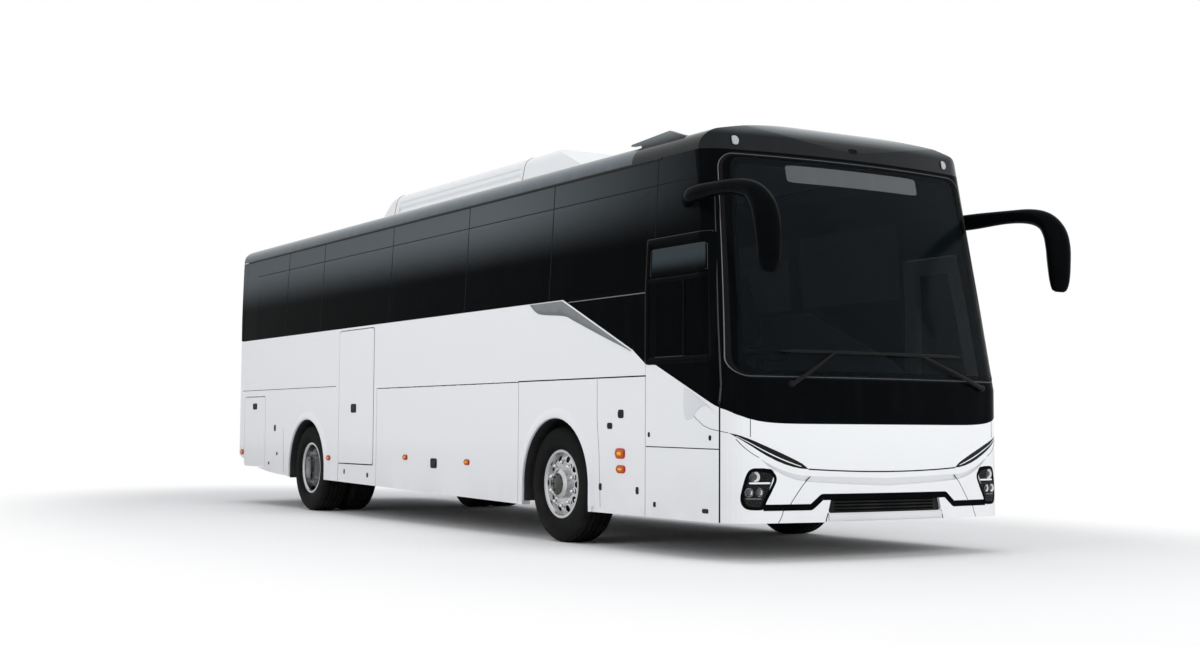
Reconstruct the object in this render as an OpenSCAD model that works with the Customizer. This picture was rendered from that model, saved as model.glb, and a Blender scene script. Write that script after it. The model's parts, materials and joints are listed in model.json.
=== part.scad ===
// Ten metre touring coach, right-hand drive, as an assembly of panels, glass, axles and doors.
// X points forward, Y to the coach's left, Z up. The origin is on the road, under the middle.

/* [Body] */
// Width over the side panels
body_width = 2500; // [2400:10:2550]
// Height of the rail where the side glass meets the roof
cove_height = 2795; // [2740:5:2830]
// Rise of the roof's crown over that rail
roof_rise = 245; // [215:5:300]
// Height of the line where the white panels meet the side glass
belt_height = 1865; // [1800:5:1920]
// Height of the seam under the belt panels
mid_height = 1250; // [1200:5:1300]
// Height of the skirt's lower edge ahead of the front axle
skirt_height = 260; // [220:5:300]
// How far the side glass leans in between belt and cove
tumblehome = 50; // [20:1:80]
// Thickness of the walls, doors and flaps
wall = 60; // [45:1:75]
// Thickness of the bonded glass
glass = 6; // [4:1:10]
// Width of the visible seams and of the gaps round doors and flaps
gap = 8; // [6:1:12]

/* [Front] */
// Angle by which the windscreen leans back
screen_rake = 12.5; // [8:0.5:16]
// Height of the windscreen's lower edge
screen_base = 1230; // [1180:5:1280]
// Distance from the roof rail down to the windscreen's upper edge
screen_drop = 50; // [40:5:90]
// Distance from the body's side in to the windscreen's lower corners
screen_margin = 100; // [70:5:150]
// Radius of the nose in plan
nose_radius = 5600; // [4500:100:8000]
// Radius of the front corners in plan
front_corner = 250; // [200:5:320]
// Radius between windscreen and roof
brow_radius = 320; // [260:10:400]
// Height of the black mask's lower edge on the centre line
mask_height = 914; // [880:2:950]
// Height of the crease above the bumper on the centre line
crease_height = 594; // [560:2:620]

/* [Running gear] */
// Distance between the axles
wheelbase = 5250; // [4900:50:6000]
// Distance from the nose to the front axle
front_overhang = 2400; // [2300:10:2600]
// Distance from the rear axle to the rear face
rear_overhang = 2350; // [2250:10:2900]
// Outer diameter of the tyres
tyre_diameter = 895; // [850:5:960]
// Width of one tyre
tyre_width = 285; // [255:5:295]
// Distance between the middles of twin tyres
twin_spacing = 320; // [315:5:340]
// Distance from the middle of the coach to the middle of an outer tyre
half_track = 1080; // [1060:5:1090]
// Radius of the wheel arches
arch_radius = 510; // [500:5:540]
// Distance from the middle of the coach to a kingpin
kingpin_offset = 960; // [950:5:970]

/* [Roof unit] */
// Length of the air-conditioning unit
pod_length = 4230; // [3600:10:4600]
// Width of the air-conditioning unit
pod_width = 1640; // [1400:10:1800]
// Height of the air-conditioning unit's top above the roof's crown
pod_rise = 200; // [150:5:260]
// Distance from the nose to the unit's front tip
pod_station = 2600; // [2400:10:2900]

/* [Mirrors] */
// How far the mirror heads reach ahead of the nose
mirror_reach = 450; // [380:10:520]
// How far the middle of a mirror head stands out from the body's side
mirror_stand = 50; // [10:5:130]

/* [Hidden] */
$fn = 48;
fine = 128;

half_w = body_width / 2;
screen_half = half_w - screen_margin;
mirror_offset = half_w + mirror_stand;
body_length = front_overhang + wheelbase + rear_overhang;
roof_height = cove_height + roof_rise;
screen_top = cove_height - screen_drop;
pod_height = roof_height + pod_rise;
total_length = body_length + mirror_reach;
x_rear = -total_length / 2;
x_nose = x_rear + body_length;
x_fa = x_nose - front_overhang;
x_ra = x_fa - wheelbase;
wheel_r = tyre_diameter / 2;
// The windscreen's lean starts a little below its glass, inside the mask.
rake_base = screen_base - 40;

// Stations along the side, measured back from the nose.
function at(s) = x_nose - s;
corner_seam = 240;
door_front = 320;
door_rear = 1130;
cap_end = 1400;
rear_zone = 240;
x_corner = at(corner_seam);
x_tail = x_rear + rear_zone;

// Where the side panels end and the flaps begin.
arch_margin = 90;
flap_front = x_fa - arch_radius - arch_margin;
flap_rear = x_ra + arch_radius + 1290;
locker_front = flap_rear - 80;
locker_rear = locker_front - 860;
locker_low = 520;
locker_high = belt_height - 30;
service_front = x_ra - arch_radius - 790;
service_rear = service_front - 690;
service_low = 425;
service_high = mid_height - 40;
tail_rise = 260;
skirt_rear = skirt_height + 85;

// Shared floor levels.
floor_top = 1150;
floor_sheet = 40;
platform_top = 800;
bay_low = 300;
bay_sheet = 40;

// Points along an arc, from angle a0 to a1 in n steps.
function arc(cx, cy, r, a0, a1, n = 12) =
  [for (i = [0:n]) [cx + r * cos(a0 + (a1 - a0) * i / n), cy + r * sin(a0 + (a1 - a0) * i / n)]];

// A rectangle with round corners, as an outline.
function round_rect(x0, y0, x1, y1, r, n = 6) = concat(
  arc(x1 - r, y1 - r, r, 0, 90, n), arc(x0 + r, y1 - r, r, 90, 180, n),
  arc(x0 + r, y0 + r, r, 180, 270, n), arc(x1 - r, y0 + r, r, 270, 360, n));

// A convex outline with its corners rounded to a radius.
function unit(v) = v / norm(v);
function corner_arc(a, p, b, r, n) =
  let (u = unit(a - p), v = unit(b - p), half = acos(u * v) / 2, c = p + unit(u + v) * r / sin(half),
       from = p + u * r / tan(half) - c, a0 = atan2(from[1], from[0]),
       to = p + v * r / tan(half) - c, a1 = atan2(to[1], to[0]),
       turn = a1 - a0 > 180 ? a1 - a0 - 360 : a1 - a0 < -180 ? a1 - a0 + 360 : a1 - a0)
  arc(c[0], c[1], r, a0, a0 + turn, n);
function rounded(points, r, n = 6) =
  let (count = len(points))
  [for (i = [0:count - 1])
    each corner_arc(points[(i + count - 1) % count], points[i], points[(i + 1) % count], r, n)];

// A strip of even width along a bent line, its corners mitred.
function normal(a, b) = unit([a[1] - b[1], b[0] - a[0]]);
function mitre(points, i, h) =
  let (last = len(points) - 1, n0 = normal(points[max(i, 1) - 1], points[max(i, 1)]),
       n1 = normal(points[min(i, last - 1)], points[min(i, last - 1) + 1]), m = n0 + n1)
  points[i] + m * 2 * h / (m * m);
module strip(points, h) {
  last = len(points) - 1;
  polygon(concat([for (i = [0:last]) mitre(points, i, h)], [for (i = [last:-1:0]) mitre(points, i, -h)]));
}

// Half width of the body at a height.
function half_at(z) = z <= belt_height ? half_w
  : half_w - tumblehome * (z - belt_height) / (cove_height - belt_height);

// Lower edge of the skirt at a station: level, then rising to the rear axle and sweeping up at the tail.
function skirt_at(x) = x >= x_fa ? skirt_height
  : x >= x_ra ? skirt_height + (skirt_rear - skirt_height) * (x_fa - x) / wheelbase
  : skirt_rear + tail_rise * pow((x_ra - x) / (x_ra - x_rear), 3);

// Extrudes a Y-Z outline along X, or an X-Z outline along Y.
module along_x(x0, x1) { translate([x0, 0, 0]) rotate([90, 0, 90]) linear_extrude(x1 - x0) children(); }
module along_y(y0, y1) { translate([0, y1, 0]) rotate([90, 0, 0]) linear_extrude(y1 - y0) children(); }
module box(low, high) { translate(low) cube(high - low); }

// Body outlines, each drawn inset by a depth.
cove_radius = 150;
cove_turn = 80;
cove_flat = half_at(cove_height) - cove_radius;
crown_sag = roof_height - cove_height - cove_radius * sin(cove_turn);
crown_half = cove_flat + cove_radius * cos(cove_turn);
module cross_outline(inset) {
  r = cove_radius - inset;
  y_end = cove_flat + r * cos(cove_turn);
  crown = [for (i = [9:-1:0]) let (y = y_end * i / 10)
           [y, roof_height - inset - crown_sag * pow(y / crown_half, 2)]];
  right = concat([[half_w - inset, 0], [half_w - inset, belt_height]],
                 arc(cove_flat, cove_height, r, 0, cove_turn, 10), crown);
  polygon(concat(right, [for (i = [len(right) - 2:-1:0]) [-right[i][0], right[i][1]]]));
}

corner_y = half_w - front_corner;
corner_turn = atan(corner_y / nose_radius);
bow_end = corner_y + front_corner * sin(corner_turn);
corner_x = x_nose - bow_end * bow_end / (2 * nose_radius) - front_corner * cos(corner_turn);
rear_corner = 200;
rear_sag = 30;
rear_flat = half_w - rear_corner;
// A tail of zero closes the plan with the rear wall; otherwise it runs on behind. The shift moves the
// facets, so that the upright and the raked plan never share a corner line.
module plan_outline(inset, tail, shift = 0) {
  r = front_corner - inset;
  y_end = corner_y + r * sin(corner_turn);
  bow = [for (i = [0:11]) let (y = y_end * (i + shift) / 12) [x_nose - inset - y * y / (2 * nose_radius), y]];
  turn = [for (i = [0:10]) let (a = corner_turn + (90 - corner_turn) * min(i + shift, 10) / 10)
          [corner_x + r * cos(a), corner_y + r * sin(a)]];
  back = tail > 0 ? [[x_rear - tail, half_w - inset]]
    : concat(arc(x_rear + rear_sag + rear_corner, rear_flat, rear_corner - inset, 90, 176, 10),
             [for (i = [9:-1:0]) let (y = rear_flat * i / 10)
              [x_rear + inset + rear_sag * pow(y / rear_flat, 2), y]]);
  half = concat(bow, turn, back);
  polygon(concat(half, [for (i = [len(half) - 1:-1:0]) if (half[i][1] > 0.01) [half[i][0], -half[i][1]]]));
}

// Side view: brow and tail are rounded here, the plan outlines shape the rest of the nose.
brow_lip = 8;
brow_z = roof_height - brow_radius;
brow_x = x_nose - ((brow_z - rake_base) * sin(screen_rake) + brow_radius) / cos(screen_rake) + brow_lip;
tail_radius = 260;
tail_lean = 60;
module side_outline(inset, open) {
  skirt = open ? [[x_rear - 200, -50], [x_nose + 200, -50]]
    : concat([[x_rear - 200, skirt_at(x_rear)]],
             [for (i = [0:8]) let (x = x_rear + (x_ra - x_rear) * i / 8) [x, skirt_at(x)]],
             [[x_fa, skirt_height], [x_nose + 200, skirt_height]]);
  front = arc(brow_x, brow_z, brow_radius - inset, screen_rake, 90, 12);
  back = arc(x_rear + tail_lean + tail_radius, roof_height - tail_radius, tail_radius - inset, 90, 178, 10);
  polygon(concat(skirt, [[x_nose + 200, front[0][1]]], front, back,
                 [[x_rear + inset - 6, belt_height - 90], [x_rear - 200, belt_height - 90]]));
}

// The whole body as one solid, inset by a depth; the inner one stays open below.
module body_solid(inset, open = false) {
  intersection() {
    along_x(x_rear - 100, x_nose + 200) cross_outline(inset);
    translate([0, 0, -60]) linear_extrude(roof_height + 200) plan_outline(inset, 0);
    raked_plan(inset);
    along_y(-body_width, body_width) side_outline(inset, open);
  }
}
module raked_plan(inset) {
  translate([x_nose, 0, rake_base]) rotate([0, -screen_rake, 0]) translate([-x_nose, 0, -2 * roof_height])
    linear_extrude(5 * roof_height) plan_outline(inset, 3000, 0.5);
}
module shell(outer, inner) {
  difference() {
    body_solid(outer);
    body_solid(inner, true);
  }
}

// The zone of the nose: everything ahead of the corner seam, raked with the windscreen.
function seam_x(s, z) = at(s) - max(0, z - rake_base) * tan(screen_rake);
module nose_zone(z0, z1) {
  polygon([[seam_x(corner_seam, z0), z0], [seam_x(corner_seam, rake_base), rake_base],
           [seam_x(corner_seam, z1), z1], [x_nose + 200, z1], [x_nose + 200, z0]]);
}
// Lines across the front, as heights over the distance from the middle.
mask_turn = 116;
function mask_z(y) = mask_height + mask_turn * pow(abs(y) / half_w, 10);
// The crease runs almost level to the slash lamps and then climbs under them.
slash_out = half_w - 49;
slash_in = slash_out - 539;
crease_rise = 20;
slash_rise = 235;
function crease_z(y) = crease_height + (abs(y) < slash_in ? crease_rise * abs(y) / slash_in
  : crease_rise + slash_rise * pow((abs(y) - slash_in) / (slash_out - slash_in), 1.8));
front_steps = [for (i = [-20:20]) (half_w + 50) * i / 20];
module below_mask() {
  polygon(concat([[half_w + 50, 0], [-half_w - 50, 0]], [for (y = front_steps) [y, mask_z(y)]]));
}
module below_crease() {
  polygon(concat([[half_w + 50, 0], [-half_w - 50, 0]], [for (y = front_steps) [y, crease_z(y)]]));
}
module nose_shell(outer, inner) {
  intersection() {
    shell(outer, inner);
    along_y(-body_width, body_width) nose_zone(0, cove_height);
  }
}

// The windscreen's outline seen from the front, shrunk by a margin.
screen_taper = 130;
screen_corner = 90;
module screen_outline(margin) {
  low = screen_half - margin;
  high = low - screen_taper;
  polygon(rounded([[-low, screen_base + margin], [low, screen_base + margin], [high, screen_top - margin],
                   [-high, screen_top - margin]], screen_corner));
}
screen_glass = 8;
seat_width = 40;

module windscreen() {
  color("darkslategray") intersection() {
    nose_shell(0, screen_glass);
    along_x(0, x_nose + 100) screen_outline(0);
  }
}
module front_mask() {
  color([0.06, 0.06, 0.07]) difference() {
    nose_shell(0, wall);
    along_x(0, x_nose + 100) below_mask();
    along_x(0, x_nose + 100) screen_outline(seat_width);
    front_cut(screen_glass) screen_outline(0);
  }
}

// Front lamps: outlines on the left half, seen from the front. The head lamp leans inwards at its top.
lamp_out = half_w - 105;
lamp_in = lamp_out - 240;
lamp_low = 355;
lamp_high = 618;
lamp_lean = 95;
lamp_tuck = 45;
lamp_corner = 36;
module headlamp_outline() {
  polygon(rounded([[lamp_in, lamp_high], [lamp_in + lamp_lean, lamp_low], [lamp_out, lamp_low],
                   [lamp_out - lamp_tuck, lamp_high]], lamp_corner));
}
// Lamp bowls: distance in from the lamp's outer edge, height over its foot, radius.
bowls = [[90, 209, 38], [52, 108, 30], [120, 108, 30]];
bowl_depth = 22;
// The slash lamp is a wedge over the crease, thin at both ends.
slash_high = 64;
slash_edge = 3;
slash_foot = 40;
function slash_z(t) = slash_edge + slash_high * pow(sin(180 * pow(t, 0.85)), 0.75);
module slash_outline() {
  steps = [for (i = [0:12]) i / 12];
  function slash_y(t) = slash_in + (slash_out - slash_in) * t;
  polygon(concat([for (t = steps) [slash_y(t), crease_z(slash_y(t)) + slash_z(t)]],
                 [for (i = [12:-1:0]) [slash_y(steps[i]), crease_z(slash_y(steps[i])) - slash_foot]]));
}
// Under a lip below the crease the bumper steps back; the step tapers out towards the lamps.
lip_high = 45;
step_high = 52;
step_half = half_w - 230;
step_depth = 16;
function step_low(t) = crease_z(step_half * t) - lip_high - step_high * sqrt(1 - t * t);
module step_outline() {
  polygon(concat([for (i = [-20:20]) [step_half * i / 20, crease_z(step_half * i / 20) - lip_high]],
                 [for (i = [19:-1:-19]) [step_half * i / 20, step_low(i / 20)]]));
}
// A black channel runs from each head lamp to the grille, up round its end and along its top.
channel_high = 24;
channel_depth = 12;
channel_low = 362;
channel_top = 428;
module channel_outline() {
  half = [[lamp_in + lamp_lean + 30, channel_low], [grille_half + 130, channel_low], [grille_half + 45, channel_top]];
  strip(concat(half, [for (i = [2:-1:0]) [-half[i][0], half[i][1]]]), channel_high / 2);
}
module both_sides() { children(); mirror([1, 0, 0]) children(); }
lamp_depth = 40;
lamp_inset = 5;
// The nose with all its lamps lies within this distance of its tip.
nose_depth = 700;
grille_half = 510;
grille_top_half = 485;
grille_low = 320;
grille_high = 421;
module grille_outline() {
  polygon(rounded([[-grille_half, grille_low], [grille_half, grille_low], [grille_top_half, grille_high],
                   [-grille_top_half, grille_high]], 16));
}
// Everything in front of a depth below the skin, inside an outline seen from the front.
module front_cut(depth) {
  intersection() {
    difference() {
      along_x(x_nose - nose_depth, x_nose + 100) children();
      body_solid(depth, true);
    }
    along_y(-body_width, body_width) nose_zone(0, cove_height);
  }
}
module front_panel() {
  color("whitesmoke") difference() {
    intersection() {
      nose_shell(0, wall);
      along_x(0, x_nose + 100) below_mask();
    }
    along_x(0, x_nose + 100) below_crease();
    front_cut(lamp_depth) both_sides() slash_outline();
  }
}
module front_bumper() {
  color("white") difference() {
    intersection() {
      nose_shell(0, wall);
      along_x(0, x_nose + 100) below_crease();
    }
    front_cut(lamp_depth) both_sides() headlamp_outline();
    front_cut(step_depth) step_outline();
    front_cut(channel_depth) channel_outline();
    along_x(x_nose - nose_depth, x_nose + 100) grille_outline();
  }
}
module front_lamps() {
  color("lightgray") {
    difference() {
      intersection() {
        nose_shell(lamp_inset, lamp_depth);
        along_x(x_nose - nose_depth, x_nose + 100) both_sides() headlamp_outline();
      }
      front_cut(bowl_depth) both_sides()
        for (b = bowls) translate([lamp_out - b[0], lamp_low + b[1]]) circle(r = b[2], $fn = 24);
    }
    difference() {
      intersection() {
        nose_shell(lamp_inset, lamp_depth);
        along_x(x_nose - nose_depth, x_nose + 100) both_sides() slash_outline();
      }
      along_x(0, x_nose + 100) below_crease();
    }
  }
}
grille_bars = 4;
bar_pitch = 22;
slot_high = 12;
grille_frame = 40;
module grille() {
  color([0.05, 0.05, 0.05]) difference() {
    intersection() {
      shell(20, 45);
      along_x(x_nose - nose_depth, x_nose + 100) grille_outline();
    }
    along_x(x_nose - nose_depth, x_nose + 100) for (i = [0:grille_bars - 1])
      translate([grille_frame - grille_top_half, grille_low + 12 + i * bar_pitch])
        square([2 * (grille_top_half - grille_frame), slot_high]);
  }
}

// Roof, front cap and rear wall.
roof_sheet = 50;
// The white roof lies between the dark rails that carry the curve from the side glass up to it.
roof_seam = crown_half - 22;
roof_joint = 1;
module roof_zone(y0, y1, s0) { box([x_rear - 100, y0, cove_height], [at(s0), y1, roof_height + 100]); }
module roof() {
  color("white") intersection() {
    shell(0, roof_sheet);
    roof_zone(roof_joint - roof_seam, roof_seam - roof_joint, cap_end);
  }
}
module roof_rails() {
  color([0.07, 0.07, 0.08]) for (side = [-1, 1]) intersection() {
    shell(0, roof_sheet);
    roof_zone(side > 0 ? roof_seam : -half_w, side > 0 ? half_w : -roof_seam, cap_end);
  }
}
// The cap's lips rise along its edges and run out over the rails in a free tip.
lip_in = crown_half + 7;
lip_out = lip_in + 40;
lip_top = cove_height + 205;
lip_foot = cove_height + 105;
lip_gap = 14;
module lip_outline() {
  tip = cove_height + cove_radius + lip_gap;
  polygon([[at(cap_end - 10), lip_foot], [at(cap_end - 10), tip - 6], [at(cap_end + 130), tip],
           [at(cap_end + 125), tip + 12], [at(cap_end - 200), lip_top - 10], [at(cap_end - 380), lip_top],
           [at(cap_end - 560), lip_top - 60], [at(cap_end - 600), lip_foot]]);
}
module front_cap() {
  color([0.07, 0.07, 0.08]) {
    intersection() {
      shell(0, roof_sheet);
      box([at(cap_end), -half_w, cove_height], [x_nose + 100, half_w, roof_height + 100]);
    }
    for (side = [-1, 1]) difference() {
      along_y(min(side * lip_in, side * lip_out), max(side * lip_in, side * lip_out)) lip_outline();
      body_solid(roof_sheet / 2, true);
    }
  }
}
rear_glass_half = half_w - 210;
rear_glass_low = belt_height + 30;
rear_glass_high = cove_height - 155;
lid_low = 690;
lid_high = 1600;
tail_lamp_out = half_w - 120;
tail_lamp_in = tail_lamp_out - 170;
lid_half = tail_lamp_in - 140;
tail_lamp_low = 880;
tail_lamp_high = 1500;
module tail_lamp_outline() {
  polygon(round_rect(tail_lamp_in, tail_lamp_low, tail_lamp_out, tail_lamp_high, 50));
}
module rear_glass_outline(m) {
  polygon(round_rect(-rear_glass_half + m, rear_glass_low + m, rear_glass_half - m, rear_glass_high - m, 110));
}
module lid_outline(m) { polygon(round_rect(-lid_half + m, lid_low + m, lid_half - m, lid_high - m, 50)); }
module rear_cut(depth) {
  difference() {
    along_x(x_rear - 100, x_tail) children();
    body_solid(depth, true);
  }
}
module rear_wall() {
  color("white") difference() {
    intersection() {
      shell(0, wall);
      box([x_rear - 100, -half_w, 0], [x_tail, half_w, cove_height]);
    }
    along_x(x_rear - 100, x_tail) rear_glass_outline(seat_width);
    rear_cut(glass) rear_glass_outline(0);
    along_x(x_rear - 100, x_tail) lid_outline(0);
    rear_cut(lamp_depth) both_sides() tail_lamp_outline();
  }
}
module rear_window() {
  color("darkslategray") intersection() {
    shell(0, glass);
    along_x(x_rear - 100, x_tail) rear_glass_outline(0);
  }
}
module rear_lamps() {
  color("firebrick") intersection() {
    shell(4, lamp_depth);
    along_x(x_rear - 100, x_tail) both_sides() tail_lamp_outline();
  }
}
// Louvres of the engine lid: slots over its lower part.
louvres = 8;
louvre_pitch = 46;
louvre_high = 26;
louvre_depth = 20;
louvre_margin = 200;
module engine_lid() {
  color("white") difference() {
    intersection() {
      shell(0, wall);
      along_x(x_rear - 100, x_tail) lid_outline(gap);
    }
    rear_cut(louvre_depth) for (i = [0:louvres - 1])
      translate([louvre_margin - lid_half, lid_low + 90 + i * louvre_pitch])
        square([2 * (lid_half - louvre_margin), louvre_high]);
  }
}

// Side panels: a strip of the side between two depths, cut to an outline drawn in side view.
module side_sheet(side, d0, d1) {
  zs = [0, belt_height, cove_height];
  polygon(concat([for (z = zs) [side * (half_at(z) - d0), z]],
                 [for (i = [2:-1:0]) [side * (half_at(zs[i]) - d1), zs[i]]]));
}
module side_part(side, d0, d1) {
  intersection() {
    along_x(x_rear, x_nose) side_sheet(side, d0, d1);
    along_y(-body_width, body_width) children();
  }
}
// The same near the nose, where the round corner trims the strip.
module corner_part(side, d0, d1) {
  intersection() {
    side_part(side, d0, d1) children();
    linear_extrude(roof_height) plan_outline(d0, 0);
    raked_plan(d0);
  }
}

// Lower edge of the black window band: level along the belt, dropping to the nose.
seam_y = corner_y + sqrt(pow(front_corner, 2) - pow(x_corner - corner_x, 2));
band_drop = [[2300, belt_height], [1300, 1440], [door_rear, 1333], [1000, 1322], [corner_seam, mask_z(seam_y)]];
module band_outline() {
  polygon(concat([[x_tail, cove_height], [x_tail, belt_height]], [for (p = band_drop) [at(p[0]), p[1]]],
                 [[at(corner_seam), rake_base], [seam_x(corner_seam, cove_height), cove_height]]));
}
module under_band() {
  polygon(concat([[x_tail, 0], [x_tail, belt_height]], [for (p = band_drop) [at(p[0]), p[1]]],
                 [[at(corner_seam), 0]]));
}
pane_top = cove_height - 230;
pane_lap = 40;
// Stations of the side panes, from the front: where each begins and ends.
pane_end = body_length - 650;
panes = [[1140, 2512], [2528, 3992], [4008, 5592], [5608, 7334], [7346, 8372], [8388, pane_end]];
module pane_outline(i, m) {
  low = belt_height + 6;
  x0 = at(panes[i][1]);
  x1 = at(panes[i][0]);
  polygon(round_rect(x0 + m, low + m, x1 - m, pane_top - m, 30));
}
// Driver's window, raked with the nose.
cab_low = 1360;
cab_high = 2110;
cab_front = 330;
cab_rear = 1000;
module cab_pane(m) {
  polygon([[at(cab_rear) + m, cab_low + m], [seam_x(cab_front, cab_low) - m, cab_low + m],
           [seam_x(cab_front, cab_high) - m, cab_high - m], [at(cab_rear) + m, cab_high - m]]);
}
door_sill = 40;
door_top = 2200;
module entrance_outline(m) {
  low = skirt_height + door_sill - m;
  high = door_top + m;
  polygon([[at(door_rear) - m, low], [at(door_front) + m, low], [at(door_front) + m, rake_base],
           [seam_x(door_front, high) + m, high], [at(door_rear) - m, high]]);
}

module window_band(side) {
  difference() {
    corner_part(side, 0, wall) band_outline();
    side_part(side, -20, glass) for (i = [0:len(panes) - 1]) pane_outline(i, 0);
    along_y(min(0, side * body_width), max(0, side * body_width))
      for (i = [0:len(panes) - 1]) pane_outline(i, pane_lap);
  }
}
module window_band_right() {
  color([0.06, 0.06, 0.07]) difference() {
    window_band(-1);
    side_part(-1, -20, glass) cab_pane(0);
    along_y(-body_width, 0) cab_pane(pane_lap);
  }
}
module window_band_left() {
  color([0.06, 0.06, 0.07]) difference() {
    window_band(1);
    along_y(0, body_width) entrance_outline(gap);
  }
}
module side_glass_right() {
  color("darkslategray") {
    side_part(-1, 0, glass) for (i = [0:len(panes) - 1]) pane_outline(i, 0);
    corner_part(-1, 0, glass) cab_pane(0);
  }
}
module side_glass_left() {
  color("darkslategray") side_part(1, 0, glass) for (i = [0:len(panes) - 1]) pane_outline(i, 0);
}

// White panels between belt and mid seam, and the skirt panels below.
module rect(x0, z0, x1, z1) { translate([x0, z0]) square([x1 - x0, z1 - z0]); }
lip_wide = 48;
lip_proud = 12;
module arch_ring(x, width) {
  r = arch_radius + width;
  polygon(concat([[x + r, -10]], arc(x, wheel_r, r, 0, 180, 24), [[x - r, -10]]));
}
module arch_outline(x) { arch_ring(x, 0); }
module arch_lips(side) {
  side_part(side, -lip_proud, 2) intersection() {
    above_skirt();
    for (x = [x_fa, x_ra]) difference() {
      arch_ring(x, lip_wide);
      arch_outline(x);
    }
  }
}
module above_skirt() {
  polygon(concat([[x_rear, cove_height]],
                 [for (i = [0:8]) let (x = x_rear + (x_ra - x_rear) * i / 8) [x, skirt_at(x)]],
                 [[x_fa, skirt_height], [x_nose, skirt_height], [x_nose, cove_height]]));
}
hatch_corner = 40;
module locker_outline(m) {
  polygon(round_rect(locker_rear - m, locker_low - m, locker_front + m, locker_high + m, hatch_corner));
}
module service_outline(m) {
  polygon(round_rect(service_rear - m, service_low - m, service_front + m, service_high + m, hatch_corner));
}
module belt_area() {
  intersection() {
    under_band();
    rect(x_tail, mid_height, at(door_rear), belt_height);
  }
}
module belt_panel_right() {
  color("white") side_part(-1, 0, wall) difference() {
    belt_area();
    locker_outline(gap);
  }
}
module belt_panel_left() {
  color("white") side_part(1, 0, wall) difference() {
    belt_area();
    entrance_outline(gap);
  }
}
module skirt_area() {
  difference() {
    intersection() {
      above_skirt();
      union() {
        rect(x_tail, 0, flap_rear, mid_height);
        rect(flap_front, 0, at(door_rear) - gap / 2, mid_height);
      }
    }
    arch_outline(x_fa);
    arch_outline(x_ra);
  }
}
module skirt_panels_right() {
  color("white") {
    arch_lips(-1);
    side_part(-1, 0, wall) difference() {
      skirt_area();
      locker_outline(gap);
      service_outline(gap);
    }
    corner_part(-1, 0, wall) intersection() {
      above_skirt();
      under_band();
      rect(at(door_rear) + gap / 2, 0, at(corner_seam), belt_height);
    }
  }
}
module skirt_panels_left() {
  color("white") {
    arch_lips(1);
    side_part(1, 0, wall) difference() {
      skirt_area();
      entrance_outline(gap);
    }
    corner_part(1, 0, wall) difference() {
      intersection() {
        above_skirt();
        under_band();
        rect(at(door_rear), 0, at(corner_seam), mid_height);
      }
      entrance_outline(gap);
    }
    door_pole();
  }
}

// Flaps and doors in the side.
module luggage_flap(side) {
  color("white") side_part(side, 0, wall) intersection() {
    above_skirt();
    rect(flap_rear + gap, 0, flap_front - gap, mid_height - gap);
  }
}
module luggage_flap_right() { luggage_flap(-1); }
module luggage_flap_left() { luggage_flap(1); }
module service_door_right() { color("white") side_part(-1, 0, wall) service_outline(0); }
module locker_door_right() { color("white") side_part(-1, 0, wall) locker_outline(0); }

// Passenger door on the left: an outer leaf on a swan-neck arm that turns on a pole behind the post.
pole_x = at(395);
pole_y = half_w - wall - 50;
pole_r = 20;
arm_reach = 430;
arm_hook = 140;
arm_low = 980;
arm_high = 1040;
arm_pin_x = pole_x - arm_reach;
pin_r = 12;
eye_r = 26;
run = 0.1;
door_glass_low = 1130;
pole_low = 420;
module door_pole() {
  translate([pole_x, pole_y, pole_low]) cylinder(r = pole_r, h = arm_high + 20 - pole_low, $fn = fine);
  for (z = [pole_low + 20, arm_low - 100]) {
    box([pole_x, pole_y - 15, z], [at(door_front) + gap + 40, pole_y + 15, z + 30]);
    box([at(door_front) + gap + 10, pole_y - 15, z], [at(door_front) + gap + 40, half_w - wall + 15, z + 30]);
  }
}
door_stile = 80;
door_glass_high = door_top - door_stile;
module door_pane(m) {
  rear = at(door_rear) + door_stile + 10 + m;
  front = at(door_front) - door_stile - m;
  polygon([[rear, door_glass_low + m], [front, door_glass_low + m], [front, rake_base],
           [seam_x(door_front + door_stile, door_glass_high) - m, door_glass_high - m],
           [rear, door_glass_high - m]]);
}
module passenger_door() {
  color("white") {
    difference() {
      corner_part(1, 0, wall) entrance_outline(0);
      side_part(1, -20, glass) door_pane(0);
      along_y(0, body_width) door_pane(pane_lap);
    }
    for (z = [[arm_low - 42, arm_low - 2], [arm_high + 2, arm_high + 42]])
      box([arm_pin_x - eye_r, pole_y - eye_r, z[0]], [arm_pin_x + eye_r, half_w - wall, z[1]]);
    translate([arm_pin_x, pole_y, arm_low - 30]) cylinder(r = pin_r, h = arm_high - arm_low + 60);
  }
}
module passenger_door_glass() { color("darkslategray") corner_part(1, 0, glass) door_pane(0); }
// A straight bar between two points in plan.
module bar(a, b, width) {
  d = b - a;
  translate(a) rotate(atan2(d[1], d[0])) translate([0, -width / 2]) square([norm(d), width]);
}
module door_arm() {
  pole = [pole_x, pole_y];
  hook = [pole_x, pole_y - arm_hook];
  pin = [arm_pin_x, pole_y];
  color("gray") translate([0, 0, arm_low]) linear_extrude(arm_high - arm_low) difference() {
    union() {
      translate(pole) circle(r = pole_r + 14, $fn = fine);
      translate(hook) circle(r = 22, $fn = fine);
      translate(pin) circle(r = eye_r, $fn = fine);
      bar(pole, hook, 32);
      bar(hook, pin, 32);
    }
    translate(pole) circle(r = pole_r + run, $fn = fine);
    translate(pin) circle(r = pin_r + run, $fn = fine);
  }
}

// Floor, entrance steps and wheel boxes.
inner_half = half_w - wall;
floor_half = inner_half - 10;
box_sheet = 20;
box_half = arch_radius + 40;
box_top = wheel_r + arch_radius + 50;
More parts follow.
